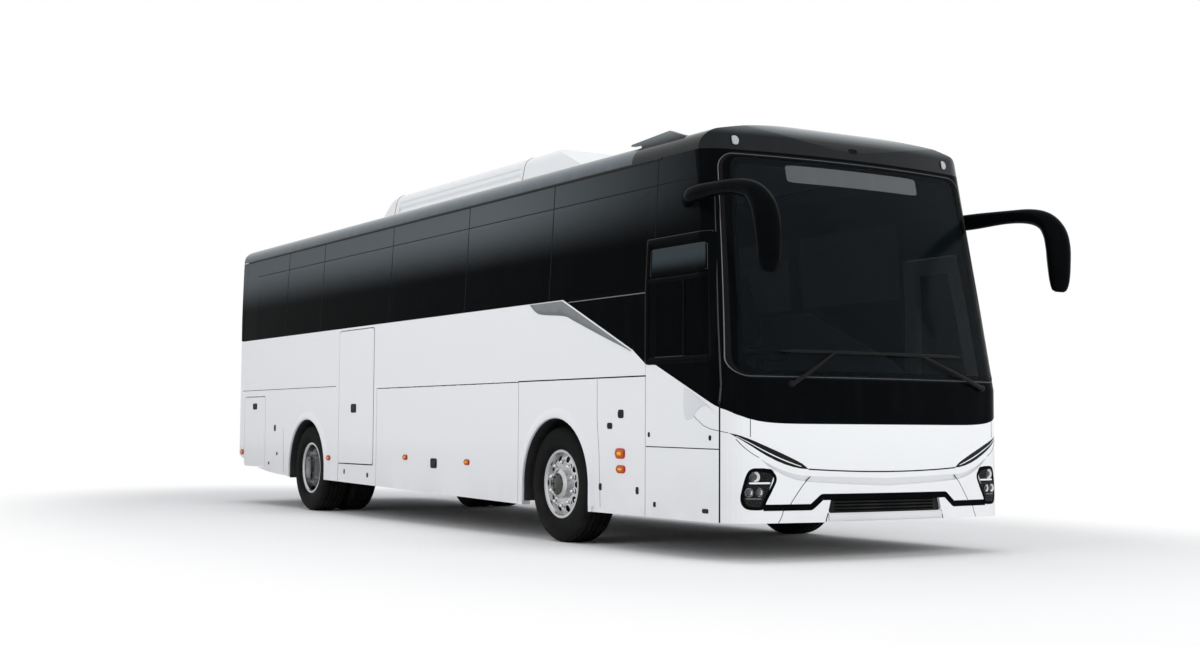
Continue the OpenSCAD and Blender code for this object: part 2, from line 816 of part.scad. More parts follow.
// The step up to the saloon floor stands against the front wheel boxes.
riser_x = x_fa + box_half + box_sheet + floor_sheet;
module wheel_box(x, side, y_in) {
  low = wheel_r + 120;
  y0 = min(side * y_in, side * inner_half);
  y1 = max(side * y_in, side * inner_half);
  difference() {
    box([x - box_half - box_sheet, y0 - (side > 0 ? box_sheet : 0), low],
        [x + box_half + box_sheet, y1 + (side < 0 ? box_sheet : 0), floor_top - floor_sheet]);
    box([x - box_half, y0 - (side < 0 ? 1 : 0), low - 1], [x + box_half, y1 + (side > 0 ? 1 : 0), box_top]);
  }
}
front_box_in = 590;
rear_box_in = 560;
module floor() {
  color("gray") box([x_tail, -floor_half, floor_top - floor_sheet], [riser_x, floor_half, floor_top]);
}
tread = 40;
well_in = 350;
// Treads of the entrance from the outside in: outer edge and height.
treads = [[floor_half, 370], [920, 590], [640, platform_top]];
module stair_outline() {
  t = treads;
  polygon([[t[0][0], t[0][1] - tread], t[0], [t[1][0], t[0][1]], t[1], [t[2][0], t[1][1]], t[2],
           [well_in, t[2][1]], [well_in, t[2][1] - tread], [t[2][0] - tread, t[2][1] - tread],
           [t[2][0] - tread, t[1][1] - tread], [t[1][0] - tread, t[1][1] - tread],
           [t[1][0] - tread, t[0][1] - tread]]);
}
module entrance_steps() {
  low = platform_top - tread;
  color("gray") {
    box([riser_x - floor_sheet, -floor_half, low], [riser_x, floor_half, floor_top - floor_sheet]);
    box([riser_x - 1, -floor_half, low], [at(420), well_in, platform_top]);
    box([riser_x - 1, well_in - 1, low], [at(door_rear + 60), floor_half, platform_top]);
    along_x(at(door_rear + 61), at(430)) stair_outline();
  }
}
module wheel_boxes() {
  color("gray") for (side = [-1, 1]) {
    wheel_box(x_fa, side, front_box_in);
    wheel_box(x_ra, side, rear_box_in);
  }
}
bay_rear = flap_rear - 20;
bay_front = flap_front + 20;
bay_half = floor_half;
module luggage_bay() {
  color("gray") {
    box([bay_rear, -bay_half, bay_low + 50], [bay_front, bay_half, bay_low + 90]);
    for (x = [bay_rear, bay_front - bay_sheet])
      box([x, -bay_half, bay_low + 90], [x + bay_sheet, bay_half, floor_top - floor_sheet]);
  }
}

// Subframes ahead of and behind the luggage bay.
rail_y = 400;
rail_half = 40;
front_rail_low = wheel_r + 170;
front_rail_high = platform_top - 60;
rear_rail_low = wheel_r + 250;
rear_rail_high = rear_rail_low + 130;
// The tow bar's pin goes up through the front cross member.
tow_r = 24;
tow_x = at(400);
cross_half = 55;
module chassis() {
  color("dimgray") {
    difference() {
      union() {
        for (y = [-rail_y, rail_y]) {
          box([bay_front, y - rail_half, front_rail_low], [at(330), y + rail_half, front_rail_high]);
          box([x_rear + 120, y - rail_half, rear_rail_low], [bay_rear, y + rail_half, rear_rail_high]);
        }
        for (x = [tow_x, x_fa + 600, x_fa - 500])
          box([x - cross_half, -rail_y, front_rail_low], [x + cross_half, rail_y, front_rail_high]);
        for (x = [x_rear + 160, x_ra - 560, x_ra + 600])
          box([x - cross_half, -rail_y, rear_rail_low], [x + cross_half, rail_y, rear_rail_high]);
      }
      translate([tow_x, 0, front_rail_low - 1])
        cylinder(r = tow_r, h = front_rail_high - front_rail_low + 2, $fn = fine);
    }
  }
}

// Front axle, knuckles and tie rod.
boss_r = 44;
boss_half = 75;
king_r = 24;
lug = 36;
arm_back = 110;
spindle_r = 38;
spring_r = 110;
module front_axle() {
  color("dimgray") difference() {
    union() {
      box([x_fa - 45, -kingpin_offset, wheel_r - 60], [x_fa + 45, kingpin_offset, wheel_r + 40]);
      for (side = [-1, 1]) {
        translate([x_fa, side * kingpin_offset, wheel_r - boss_half])
          cylinder(r = boss_r, h = 2 * boss_half, $fn = fine);
        translate([x_fa, side * rail_y, wheel_r + 30])
          cylinder(r = spring_r, h = front_rail_low - wheel_r - 30, $fn = fine);
      }
    }
    for (side = [-1, 1]) translate([x_fa, side * kingpin_offset, wheel_r - 200])
      cylinder(r = king_r + run, h = 400, $fn = fine);
  }
}
web_in = 52;
web_out = 88;
tie_low = 160;
tie_high = 118;
module knuckle(side) {
  y = side * kingpin_offset;
  color("gray") {
    translate([x_fa, y, wheel_r - boss_half - lug - 2])
      cylinder(r = king_r, h = 2 * (boss_half + lug + 2), $fn = fine);
    for (z = [wheel_r - boss_half - 2 - lug, wheel_r + boss_half + 2]) {
      translate([x_fa, y, z]) cylinder(r = boss_r, h = lug, $fn = fine);
      box([x_fa - 40, min(y, y + side * web_out), z], [x_fa + 40, max(y, y + side * web_out), z + lug]);
    }
    box([x_fa - 40, min(y + side * web_in, y + side * web_out), wheel_r - boss_half - 2 - lug],
        [x_fa + 40, max(y + side * web_in, y + side * web_out), wheel_r + boss_half + 2 + lug]);
    translate([x_fa, y + side * (web_out - 10), wheel_r]) rotate([-90 * side, 0, 0])
      cylinder(r = spindle_r, h = half_track + 125 - kingpin_offset - web_out, $fn = fine);
    box([x_fa - arm_back - 20, y - 22, wheel_r - boss_half - 2 - lug], [x_fa, y + 22, wheel_r - boss_half - 2]);
    translate([x_fa - arm_back, y, wheel_r - tie_low - 6])
      cylinder(r = pin_r, h = tie_low - boss_half, $fn = fine);
  }
}
module knuckle_right() { knuckle(-1); }
module knuckle_left() { knuckle(1); }
module tie_rod() {
  color("gray") difference() {
    union() {
      for (side = [-1, 1]) translate([x_fa - arm_back, side * kingpin_offset, wheel_r - tie_low])
        cylinder(r = eye_r, h = tie_low - tie_high, $fn = fine);
      translate([x_fa - arm_back, -kingpin_offset + 20, wheel_r - (tie_low + tie_high) / 2]) rotate([-90, 0, 0])
        cylinder(r = 16, h = 2 * kingpin_offset - 40, $fn = fine);
    }
    for (side = [-1, 1]) translate([x_fa - arm_back, side * kingpin_offset, wheel_r - tie_low - 10])
      cylinder(r = pin_r + run, h = 80, $fn = fine);
  }
}

// Rear axle, engine and shaft.
rear_spindle_r = 50;
module rear_axle() {
  color("dimgray") {
    translate([x_ra, -700, wheel_r]) rotate([-90, 0, 0]) cylinder(r = 80, h = 1400, $fn = fine);
    translate([x_ra, -half_track - 20, wheel_r]) rotate([-90, 0, 0])
      cylinder(r = rear_spindle_r, h = 2 * half_track + 40, $fn = fine);
    translate([x_ra - 200, 0, wheel_r]) rotate([0, 90, 0]) cylinder(r = 190, h = 330, $fn = fine);
    for (side = [-1, 1]) translate([x_ra, side * rail_y, wheel_r + 60])
      cylinder(r = spring_r, h = rear_rail_low - wheel_r - 60, $fn = fine);
  }
}
engine_rear = x_rear + 260;
engine_length = 1040;
engine_front = engine_rear + engine_length;
engine_half = 330;
bearer_half = rail_y + rail_half;
module engine() {
  color("darkgray") {
    box([engine_rear, -engine_half, wheel_r + 30], [engine_front, engine_half, wheel_r + 600]);
    for (x = [engine_rear + 60, engine_front - 300])
      box([x, -bearer_half, rear_rail_high], [x + 100, bearer_half, rear_rail_high + 40]);
    translate([engine_front - 1, 0, wheel_r + 60]) rotate([0, 90, 0])
      cylinder(r = 50, h = x_ra - 200 - engine_front + 1, $fn = fine);
  }
}

// Wheels. Profiles are drawn as radius over the distance from the tyre's middle, outward.
bead_r = 248;
flange_r = 264;
rim_half = 118;
well_r = 236;
module wheel_turn(x, y, side) {
  translate([x, side * y, wheel_r]) rotate([-90 * side, 0, 0]) rotate_extrude($fn = fine) children();
}
module tyre_profile() {
  w = tyre_width / 2;
  right = [[bead_r, rim_half - 14], [flange_r, rim_half - 8], [flange_r + 10, rim_half], [bead_r + 55, w - 4],
           [bead_r + 100, w], [wheel_r - 50, w - 4], [wheel_r - 16, w - 18], [wheel_r - 4, w - 36], [wheel_r, w - 60]];
  polygon(concat(right, [for (i = [len(right) - 1:-1:0]) [right[i][0], -right[i][1]]]));
}
module barrel_profile() {
  polygon([[flange_r, -rim_half], [flange_r, -rim_half + 8], [bead_r, -rim_half + 14], [bead_r, rim_half - 14],
           [flange_r, rim_half - 8], [flange_r, rim_half], [well_r + 8, rim_half], [well_r, rim_half - 14],
           [well_r, -rim_half + 14], [well_r + 8, -rim_half]]);
}
disc_r = well_r + 1;
hand_holes = 10;
hole_r = 26;
module front_disc_profile() {
  polygon([[disc_r, 60], [disc_r, 76], [200, 92], [165, 98], [112, 98], [112, 130], [88, 150], [0, 150], [0, 138],
           [spindle_r + run, 138], [spindle_r + run, 10], [100, 10], [104, 80], [165, 82], [195, 76]]);
}
module front_rim(side) {
  color("silver") difference() {
    wheel_turn(x_fa, half_track, side) {
      barrel_profile();
      front_disc_profile();
    }
    for (i = [0:hand_holes - 1])
      translate([x_fa, side * half_track, wheel_r]) rotate([0, 360 * i / hand_holes, 0])
      translate([198, 0, 0]) rotate([-90 * side, 0, 0]) cylinder(r = hole_r, h = 120);
  }
}
module rear_disc_profile() {
  w = twin_spacing / 2;
  polygon([[disc_r, -rim_half + 20], [disc_r, -rim_half + 36], [200, -w + 30], [165, -w + 16], [136, -w + 16], [136, 0],
           [110, 40], [0, 40], [0, 26], [rear_spindle_r + run, 26], [rear_spindle_r + run, -w - 50], [120, -w - 50],
           [120, -w], [170, -w], [205, -w + 10]]);
}
module rear_inner_profile() {
  w = twin_spacing / 2;
  translate([0, -twin_spacing]) polygon([[disc_r, rim_half - 36], [disc_r, rim_half - 20], [205, w - 10], [170, w],
    [120, w], [120, w - 16], [165, w - 16], [200, w - 30]]);
}
module rear_rims(side) {
  color("silver") difference() {
    wheel_turn(x_ra, half_track, side) {
      barrel_profile();
      translate([0, -twin_spacing]) barrel_profile();
      rear_disc_profile();
      rear_inner_profile();
    }
    for (i = [0:hand_holes - 1])
      translate([x_ra, side * half_track, wheel_r]) rotate([0, 360 * i / hand_holes, 0])
      translate([203, 0, 0]) rotate([90 * side, 0, 0]) translate([0, 0, 60]) cylinder(r = hole_r, h = 200);
  }
}
module rear_tyres(side) {
  color([0.1, 0.1, 0.1]) wheel_turn(x_ra, half_track, side) {
    tyre_profile();
    translate([0, -twin_spacing]) tyre_profile();
  }
}
module tyre_front_right() { color([0.1, 0.1, 0.1]) wheel_turn(x_fa, half_track, -1) tyre_profile(); }
module tyre_front_left() { color([0.1, 0.1, 0.1]) wheel_turn(x_fa, half_track, 1) tyre_profile(); }
module tyres_rear_right() { rear_tyres(-1); }
module tyres_rear_left() { rear_tyres(1); }
module rim_front_right() { front_rim(-1); }
module rim_front_left() { front_rim(1); }
module rims_rear_right() { rear_rims(-1); }
module rims_rear_left() { rear_rims(1); }

// Roof unit, mirrors, wipers and side lamps.
fans = 4;
fan_r = 230;
fan_well = 35;
fan_first = 700;
fan_pitch = 660;
recess_depth = 45;
module roof_unit() {
  x1 = at(pod_station);
  x0 = x1 - pod_length;
  w = pod_width / 2;
  low = cove_height + 100;
  rise = pod_height - low;
  color("gainsboro") difference() {
    intersection() {
      along_y(-w, w) polygon(concat([[x0, low], [x1, low]], [[x1, low + 60]],
        arc(x1 - 700, pod_height - 90, 90, 75, 90, 3),
        arc(x0 + 330, pod_height - 120, 120, 90, 135, 5), [[x0, low + 80]]));
      along_x(x0, x1) polygon(concat([[w, low], [w - 10, low + 90]],
        arc(w - 150, pod_height - 110, 110, 10, 90, 8),
        arc(-w + 150, pod_height - 110, 110, 90, 170, 8), [[-w + 10, low + 90], [-w, low]]));
    }
    along_x(x0 - 10, x1 + 10) cross_outline(0);
    for (side = [-1, 1]) along_y(side > 0 ? w - recess_depth : -w - 10, side > 0 ? w + 10 : recess_depth - w)
      polygon(round_rect(x0 + 420, low + 95, x1 - 1250, pod_height - 95, 30));
    for (i = [0:fans - 1]) translate([x0 + fan_first + i * fan_pitch, 0, pod_height - fan_well])
      cylinder(r = fan_r, h = fan_well + 10, $fn = fine);
  }
}
head_front = x_nose + mirror_reach;
head_depth = 130;
head_half = 80;
root_z = cove_height - 325;
head_high = root_z - 30;
head_low = head_high - 575;
// Points of a mirror's arm, root first: place and radius.
mirror_path = [[at(690), half_at(root_z) - 10, root_z, 62], [at(420), mirror_offset + 10, root_z + 20, 66],
               [at(60), mirror_offset + 30, root_z + 20, 62],
               [head_front - 260, mirror_offset + 25, root_z - 20, 60],
               [head_front - head_depth / 2, mirror_offset, root_z - 80, 58]];
module mirror_half(side) {
  y0 = side * mirror_offset - head_half;
  y1 = side * mirror_offset + head_half;
  difference() {
    union() {
      for (i = [0:len(mirror_path) - 2]) hull() for (k = [0, 1]) {
        p = mirror_path[i + k];
        translate([p[0], side * p[1], p[2]]) scale([1, 0.7, 1]) sphere(r = p[3], $fn = 16);
      }
      intersection() {
        along_y(-body_width, body_width)
          polygon(round_rect(head_front - head_depth, head_low, head_front, head_high, 55));
        along_x(head_front - head_depth, head_front) polygon(round_rect(y0, head_low, y1, head_high, 60));
        translate([0, 0, head_low]) linear_extrude(head_high - head_low)
          polygon(round_rect(head_front - head_depth, y0, head_front, y1, 40));
      }
    }
    along_x(x_rear, x_nose) side_sheet(side, 0, 400);
  }
}
module mirrors() {
  color([0.06, 0.06, 0.06]) {
    mirror_half(-1);
    mirror_half(1);
  }
}
// Wipers: where each pivot sits, where its arm ends and how far its blade runs, seen from the front.
wiper_table = [[-800, 1178, -430, 1400], [950, 1178, 330, 1400]];
blade_half = 430;
function screen_x(y, z) = x_nose - y * y / (2 * nose_radius) - max(0, z - rake_base) * tan(screen_rake);
module wipers() {
  color([0.05, 0.05, 0.05]) difference() {
    for (w = wiper_table) {
      a = [screen_x(w[0], w[1]) + 24, w[0], w[1]];
      b = [screen_x(w[2], w[3]) + 30, w[2], w[3]];
      translate(a - [50, 0, 0]) rotate([0, 90, 0]) cylinder(r = 26, h = 60);
      hull() {
        translate(a) sphere(r = 14, $fn = 12);
        translate(b) sphere(r = 10, $fn = 12);
      }
      hull() for (e = [-1, 1]) {
        y = w[2] + e * blade_half;
        translate([screen_x(y, w[3]) + 16, y, w[3]]) sphere(r = 12, $fn = 12);
      }
      translate([screen_x(w[2], w[3]) + 16, w[2], w[3]]) sphere(r = 20, $fn = 12);
    }
    body_solid(0);
  }
}
// Marker lamps on the fixed panels of both sides: station, height, length and height of each lens.
marker_table = [[x_ra + 600, 562, 90, 40], [at(1460), 697, 115, 64], [at(1450), 584, 105, 46],
                [service_rear - 65, 583, 90, 50]];
module side_lamps() {
  color("orange") for (side = [-1, 1]) for (m = marker_table)
    if (side < 0 || m[0] < at(door_rear + 80))
      box([m[0] - m[2] / 2, side > 0 ? half_w : -half_w - 14, m[1] - m[3] / 2],
          [m[0] + m[2] / 2, side > 0 ? half_w + 14 : -half_w, m[1] + m[3] / 2]);
}

// Driver's place and seats.
// Side view of the dashboard: distance back from the nose and height over the platform.
dash_points = [[700, 0], [440, 0], [380, 380], [420, 450], [640, 490], [720, 430], [720, 300], [620, 260]];
module dash_outline() { polygon([for (p = dash_points) [at(p[0]), platform_top + p[1]]]); }
module dashboard() { color([0.12, 0.12, 0.13]) along_y(-inner_half + 20, dash_left) dash_outline(); }
driver_y = 590 - half_w;
wheel_at = [at(840), driver_y, platform_top + 490];
column_tilt = 40;
column_r = 36;
column_length = 235;
steer_r = 210;
steer_grip = 16;
steer_hub = 70;
dash_left = 330;
module steering_wheel() {
  color([0.05, 0.05, 0.05]) {
    translate(wheel_at) rotate([0, -column_tilt, 0]) {
      rotate_extrude($fn = 64) translate([steer_r, 0]) circle(r = steer_grip, $fn = 24);
      for (a = [0, 120, 240]) rotate(a) box([-2, -steer_grip, -10], [steer_r - 5, steer_grip, 8]);
      translate([0, 0, -12]) cylinder(r = steer_hub, h = 24);
    }
    difference() {
      translate(wheel_at) rotate([0, -column_tilt, 0]) translate([0, 0, -column_length - 5])
        cylinder(r = column_r, h = column_length);
      along_y(-inner_half + 20, dash_left) dash_outline();
    }
  }
}
seat_pitch = 745;
seat_rows = 9;
seat_first = 2420;
aisle = 400;
driver_half = 260;
// Side view of a seat: cushion on its foot, and the back that rises behind it.
seat_reach = 430;
module seat_base_outline() {
  polygon([[430, 0], [430, 40], [330, 60], [330, 330], [460, 345], [470, 400], [450, 430], [40, 440],
           [-60, 420], [-40, 360], [100, 330], [100, 60], [60, 40], [60, 0]]);
}
module seat_back_outline() {
  polygon([[40, 440], [20, 520], [-130, 1060], [-190, 1110], [-240, 1090], [-250, 1030], [-100, 450],
           [-60, 420]]);
}
module all_seats() {
  y0 = aisle / 2;
  y1 = inner_half - 40;
  for (i = [0:seat_rows - 1]) for (side = [-1, 1])
    along_y(side > 0 ? y0 : -y1, side > 0 ? y1 : -y0)
      translate([at(seat_first + seat_reach + i * seat_pitch), floor_top]) children();
  along_y(driver_y - driver_half, driver_y + driver_half) translate([at(1500), platform_top]) children();
}
module seat_bases() { color([0.2, 0.2, 0.25]) all_seats() seat_base_outline(); }
module seat_backs() { color([0.2, 0.2, 0.25]) all_seats() seat_back_outline(); }

chassis();
floor();
entrance_steps();
wheel_boxes();
luggage_bay();
window_band_right();
window_band_left();
belt_panel_right();
belt_panel_left();
skirt_panels_right();
skirt_panels_left();
roof();
roof_rails();
front_cap();
rear_wall();
front_panel();
front_bumper();
front_mask();
windscreen();
side_glass_right();
side_glass_left();
rear_window();
roof_unit();
front_lamps();
rear_lamps();
side_lamps();
grille();
mirrors();
wipers();
dashboard();
steering_wheel();
seat_bases();
seat_backs();
front_axle();
rear_axle();
engine();
knuckle_right();
knuckle_left();
tie_rod();
tyre_front_right();
tyre_front_left();
tyres_rear_right();
tyres_rear_left();
rim_front_right();
rim_front_left();
rims_rear_right();
rims_rear_left();
passenger_door();
passenger_door_glass();
door_arm();
luggage_flap_right();
luggage_flap_left();
engine_lid();
service_door_right();
locker_door_right();
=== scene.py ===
"""Looks of a ten metre touring coach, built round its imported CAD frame.

Units are metres. X points forward, Y to the coach's left, Z up, with the origin on the road.
"""

from __future__ import annotations

import json
import logging
import math
from collections.abc import Callable
from dataclasses import dataclass
from enum import Enum
from functools import cache

import bmesh
import bpy
import numpy as np
from mathutils import Matrix, Vector

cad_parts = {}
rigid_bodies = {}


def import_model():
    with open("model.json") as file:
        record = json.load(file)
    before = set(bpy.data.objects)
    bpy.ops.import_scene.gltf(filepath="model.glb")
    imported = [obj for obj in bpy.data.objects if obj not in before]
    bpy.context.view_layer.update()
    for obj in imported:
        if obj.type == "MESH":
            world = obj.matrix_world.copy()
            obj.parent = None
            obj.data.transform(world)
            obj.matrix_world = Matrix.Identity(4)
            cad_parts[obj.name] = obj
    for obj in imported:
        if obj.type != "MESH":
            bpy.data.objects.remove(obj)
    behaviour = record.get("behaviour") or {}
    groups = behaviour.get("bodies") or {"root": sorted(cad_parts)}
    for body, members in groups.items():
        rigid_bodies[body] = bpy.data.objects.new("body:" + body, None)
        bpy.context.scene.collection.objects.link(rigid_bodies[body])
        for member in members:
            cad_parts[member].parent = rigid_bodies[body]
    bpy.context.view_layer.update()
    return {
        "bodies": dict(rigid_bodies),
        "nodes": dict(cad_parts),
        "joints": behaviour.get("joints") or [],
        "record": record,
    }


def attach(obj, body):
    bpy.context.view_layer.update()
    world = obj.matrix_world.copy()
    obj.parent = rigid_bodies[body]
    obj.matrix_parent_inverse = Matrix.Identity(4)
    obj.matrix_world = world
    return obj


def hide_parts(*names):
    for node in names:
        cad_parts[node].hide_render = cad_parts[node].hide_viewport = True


LOG = logging.getLogger("coach")
Array = np.ndarray
Pair = tuple[float, float]
Triple = tuple[float, float, float]
Colour = Triple
Shape = tuple[Array, Array]
Skin = Callable[[Array, Array, Array], Array]
Material = bpy.types.Material
Object = bpy.types.Object
Scene = bpy.types.Scene
Socket = bpy.types.NodeSocket
SHARP = math.radians(38)


# Layout shared with the CAD part


@dataclass(frozen=True)
class Layout:
    """Main places and sizes of the coach, the same values as in the CAD part."""

    nose: float = 4.775
    rear: float = -5.225
    front_axle: float = 2.375
    rear_axle: float = -2.875
    half_width: float = 1.25
    belt: float = 1.865
    cove: float = 2.795
    roof: float = 3.04
    mid: float = 1.25
    lean: float = 0.05
    rake: float = math.radians(12.5)
    rake_base: float = 1.19
    nose_radius: float = 5.6
    corner: float = 0.25
    wheel: float = 0.4475
    half_track: float = 1.08
    twin: float = 0.32
    brow: float = 0.32
    brow_ease: float = 0.008
    tail_bow: float = 0.03
    tail_half: float = 1.05
    tail_foot: float = 1.775
    tail_height: float = 1.005
    tail_lean: float = 0.066
    tail_proud: float = 0.006

    def at(self, station: float) -> float:
        """X of a station measured back from the nose."""
        return self.nose - station

    def side(self, z: Array | float) -> Array:
        """Half width of the body at height z: upright to the belt, then leaning in evenly to the cove."""
        share = np.clip((np.asarray(z) - self.belt) / (self.cove - self.belt), 0, 1)
        return self.half_width - self.lean * share

    def corner_arc(self) -> Triple:
        """Round corner of the plan, where it meets the nose's bow.

        Returns:
            Y of its centre, Y of its end on the bow, and X of its centre.
        """
        centre = self.half_width - self.corner
        turn = math.atan(centre / self.nose_radius)
        end = centre + self.corner * math.sin(turn)
        return centre, end, self.nose - end * end / (2 * self.nose_radius) - self.corner * math.cos(turn)

    def plan(self, y: Array) -> Array:
        """X of the upright nose at y: a shallow parabola, then a round corner of the plan's corner radius.

        Args:
            y: places across the coach.

        Returns:
            X at each place.
        """
        y = np.abs(y)
        centre, end, corner_x = self.corner_arc()
        bow = self.nose - y * y / (2 * self.nose_radius)
        arc = corner_x + np.sqrt(np.maximum(self.corner**2 - (y - centre) ** 2, 0))
        return np.where(y < end, bow, arc)

    def flank(self, x: Array, z: Array) -> Array:
        """Half width at (x, z): the side, or the round corner of either plan if that is further in.

        Args:
            x: places along the coach.
            z: their heights.

        Returns:
            The half width at each place.
        """
        centre, _, corner_x = self.corner_arc()
        lean = (z - self.rake_base) * math.tan(self.rake)
        raked = self.nose + (x - self.nose + lean) * math.cos(self.rake)
        ahead = np.clip(np.maximum(x, raked) - corner_x, 0, self.corner)
        return np.minimum(self.side(z), centre + np.sqrt(self.corner**2 - ahead**2))

    def front(self, y: Array, z: Array) -> Array:
        """X of the nose at (y, z): the upright plan, cut back by the leaning plan and by the round brow.

        Args:
            y: places across the coach.
            z: their heights.

        Returns:
            X at each place.
        """
        upright = self.plan(y)
        lean = (z - self.rake_base) * math.tan(self.rake)
        raked = self.nose + (upright - self.nose) / math.cos(self.rake) - lean
        foot = self.roof - self.brow
        drop = (foot - self.rake_base) * math.sin(self.rake) + self.brow
        middle = self.nose - drop / math.cos(self.rake) + self.brow_ease
        over = np.clip(np.asarray(z) - foot, 0, self.brow)
        brow = np.where(over > 0, middle + np.sqrt(self.brow**2 - over**2), np.inf)
        return np.minimum(np.minimum(upright, raked), brow)

    def back(self, y: Array, z: Array) -> Array:
        """X of the rear wall at (y, z): a bow with the square of y, or the tail's lean if that is further in.

        Args:
            y: places across the coach.
            z: their heights.

        Returns:
            X at each place.
        """
        bow = self.rear + self.tail_bow * (np.asarray(y) / self.tail_half) ** 2
        share = np.clip((np.asarray(z) - self.tail_foot) / self.tail_height, 0, 1)
        return np.maximum(bow, self.rear - self.tail_proud + self.tail_lean * share)


PLACE = Layout()


class Body(str, Enum):
    """Rigid bodies of the frame that pieces ride on."""

    COACH = "coach_body"
    FRONT_RIGHT = "wheel_front_right"
    FRONT_LEFT = "wheel_front_left"
    REAR_RIGHT = "wheels_rear_right"
    REAR_LEFT = "wheels_rear_left"
    DOOR = "passenger_door"
    FLAP_RIGHT = "luggage_flap_right"
    FLAP_LEFT = "luggage_flap_left"
    LID = "engine_lid"
    SERVICE = "service_door_right"
    LOCKER = "locker_door_right"


class Side(float, Enum):
    """Sides of the coach, by the sign of Y."""

    RIGHT = -1.0
    LEFT = 1.0


# Shader kit


class Val:
    """A shader value; arithmetic on it adds Math nodes to its material."""

    def __init__(self, kit: ShaderKit, socket: Socket) -> None:
        """Wraps a socket of a material's kit."""
        self.kit = kit
        self.socket = socket

    def _math(self, operation: str, a: Val | float, b: Val | float) -> Val:
        """One Math node on two values."""
        made = self.kit.node("ShaderNodeMath", {"operation": operation}, {0: a, 1: b})
        return Val(self.kit, made.outputs[0])

    def __add__(self, other: Val | float) -> Val:
        """Sum."""
        return self._math("ADD", self, other)

    def __sub__(self, other: Val | float) -> Val:
        """Difference."""
        return self._math("SUBTRACT", self, other)

    def __rsub__(self, other: Val | float) -> Val:
        """Difference with the value on the right."""
        return self._math("SUBTRACT", other, self)

    def __mul__(self, other: Val | float) -> Val:
        """Product."""
        return self._math("MULTIPLY", self, other)

    __radd__ = __add__
    __rmul__ = __mul__

    def sine(self) -> Val:
        """Sine of the value, in radians."""
        return self._math("SINE", self, 0.0)

    def smooth(self, low: float, high: float) -> Val:
        """Smooth step from zero at low to one at high; low may be the larger.

        Args:
            low: value that gives zero.
            high: value that gives one.

        Returns:
            The step.
        """
        settings = {"interpolation_type": "SMOOTHSTEP", "clamp": True}
        made = self.kit.node("ShaderNodeMapRange", settings, {0: self, 1: low, 2: high})
        return Val(self.kit, made.outputs[0])


class ShaderKit:
    """Builds the nodes of one material or world."""

    def __init__(self, owner: Material | bpy.types.World) -> None:
        """Empties the owner's tree.

        Args:
            owner: a material or a world.
        """
        owner.use_nodes = True
        self.owner = owner
        self.tree = owner.node_tree
        self.tree.nodes.clear()

    def node(self, kind: str, settings: dict | None = None, inputs: dict | None = None) -> bpy.types.Node:
        """Adds a node.

        Args:
            kind: Blender's node type.
            settings: properties, set first.
            inputs: values or links by socket name or index.

        Returns:
            The node.
        """
        made = self.tree.nodes.new(kind)
        for key, value in (settings or {}).items():
            setattr(made, key, value)
        for key, value in (inputs or {}).items():
            socket = made.inputs[key]
            if isinstance(value, Val):
                value = value.socket
            if isinstance(value, Socket):
                self.tree.links.new(value, socket)
            elif isinstance(value, tuple) and socket.type == "RGBA" and len(value) == 3:
                socket.default_value = (*value, 1.0)
            else:
                socket.default_value = value
        return made

    def place(self, stretch: Triple = (1, 1, 1)) -> Socket:
        """Object coordinates, stretched along each axis."""
        coords = self.node("ShaderNodeTexCoord").outputs["Object"]
        return self.node("ShaderNodeMapping", None, {"Vector": coords, "Scale": stretch}).outputs[0]

    def axis(self, name: str) -> Val:
        """One of the object coordinates, "X", "Y" or "Z"."""
        coords = self.node("ShaderNodeTexCoord").outputs["Object"]
        return Val(self, self.node("ShaderNodeSeparateXYZ", None, {0: coords}).outputs[name])

    def noise(self, scale: float, detail: float, stretch: Triple = (1, 1, 1)) -> Val:
        """Noise from zero to one on object coordinates, with so many cells to the metre."""
        inputs = {"Vector": self.place(stretch), "Scale": scale, "Detail": detail}
        return Val(self, self.node("ShaderNodeTexNoise", None, inputs).outputs[0])

    def mix(self, factor: Val | float, a: Colour | Socket, b: Colour) -> Socket:
        """Colour between a and b."""
        made = self.node("ShaderNodeMix", {"data_type": "RGBA"}, {"Factor": factor, 6: a, 7: b})
        return made.outputs[2]

    def bump(self, height: Val, depth: float) -> Socket:
        """Normal bent by a height field of so many metres."""
        inputs = {"Height": height, "Distance": depth, "Strength": 1.0}
        return self.node("ShaderNodeBump", None, inputs).outputs[0]

    def finish(self, **inputs: object) -> Material:
        """Ends the material with a Principled shader.

        Args:
            inputs: Principled inputs, with underscores for spaces.

        Returns:
            The material.
        """
        named = {key.replace("_", " ").replace("Ior", "IOR"): value for key, value in inputs.items()}
        shader = self.node("ShaderNodeBsdfPrincipled", None, named)
        self.node("ShaderNodeOutputMaterial", None, {"Surface": shader.outputs[0]})
        return self.owner


# Finishes


def shade(colour: Colour, factor: float, lift: float = 0.0) -> Colour:
    """A colour scaled by a factor and lifted."""
    return tuple(c * factor + lift for c in colour)


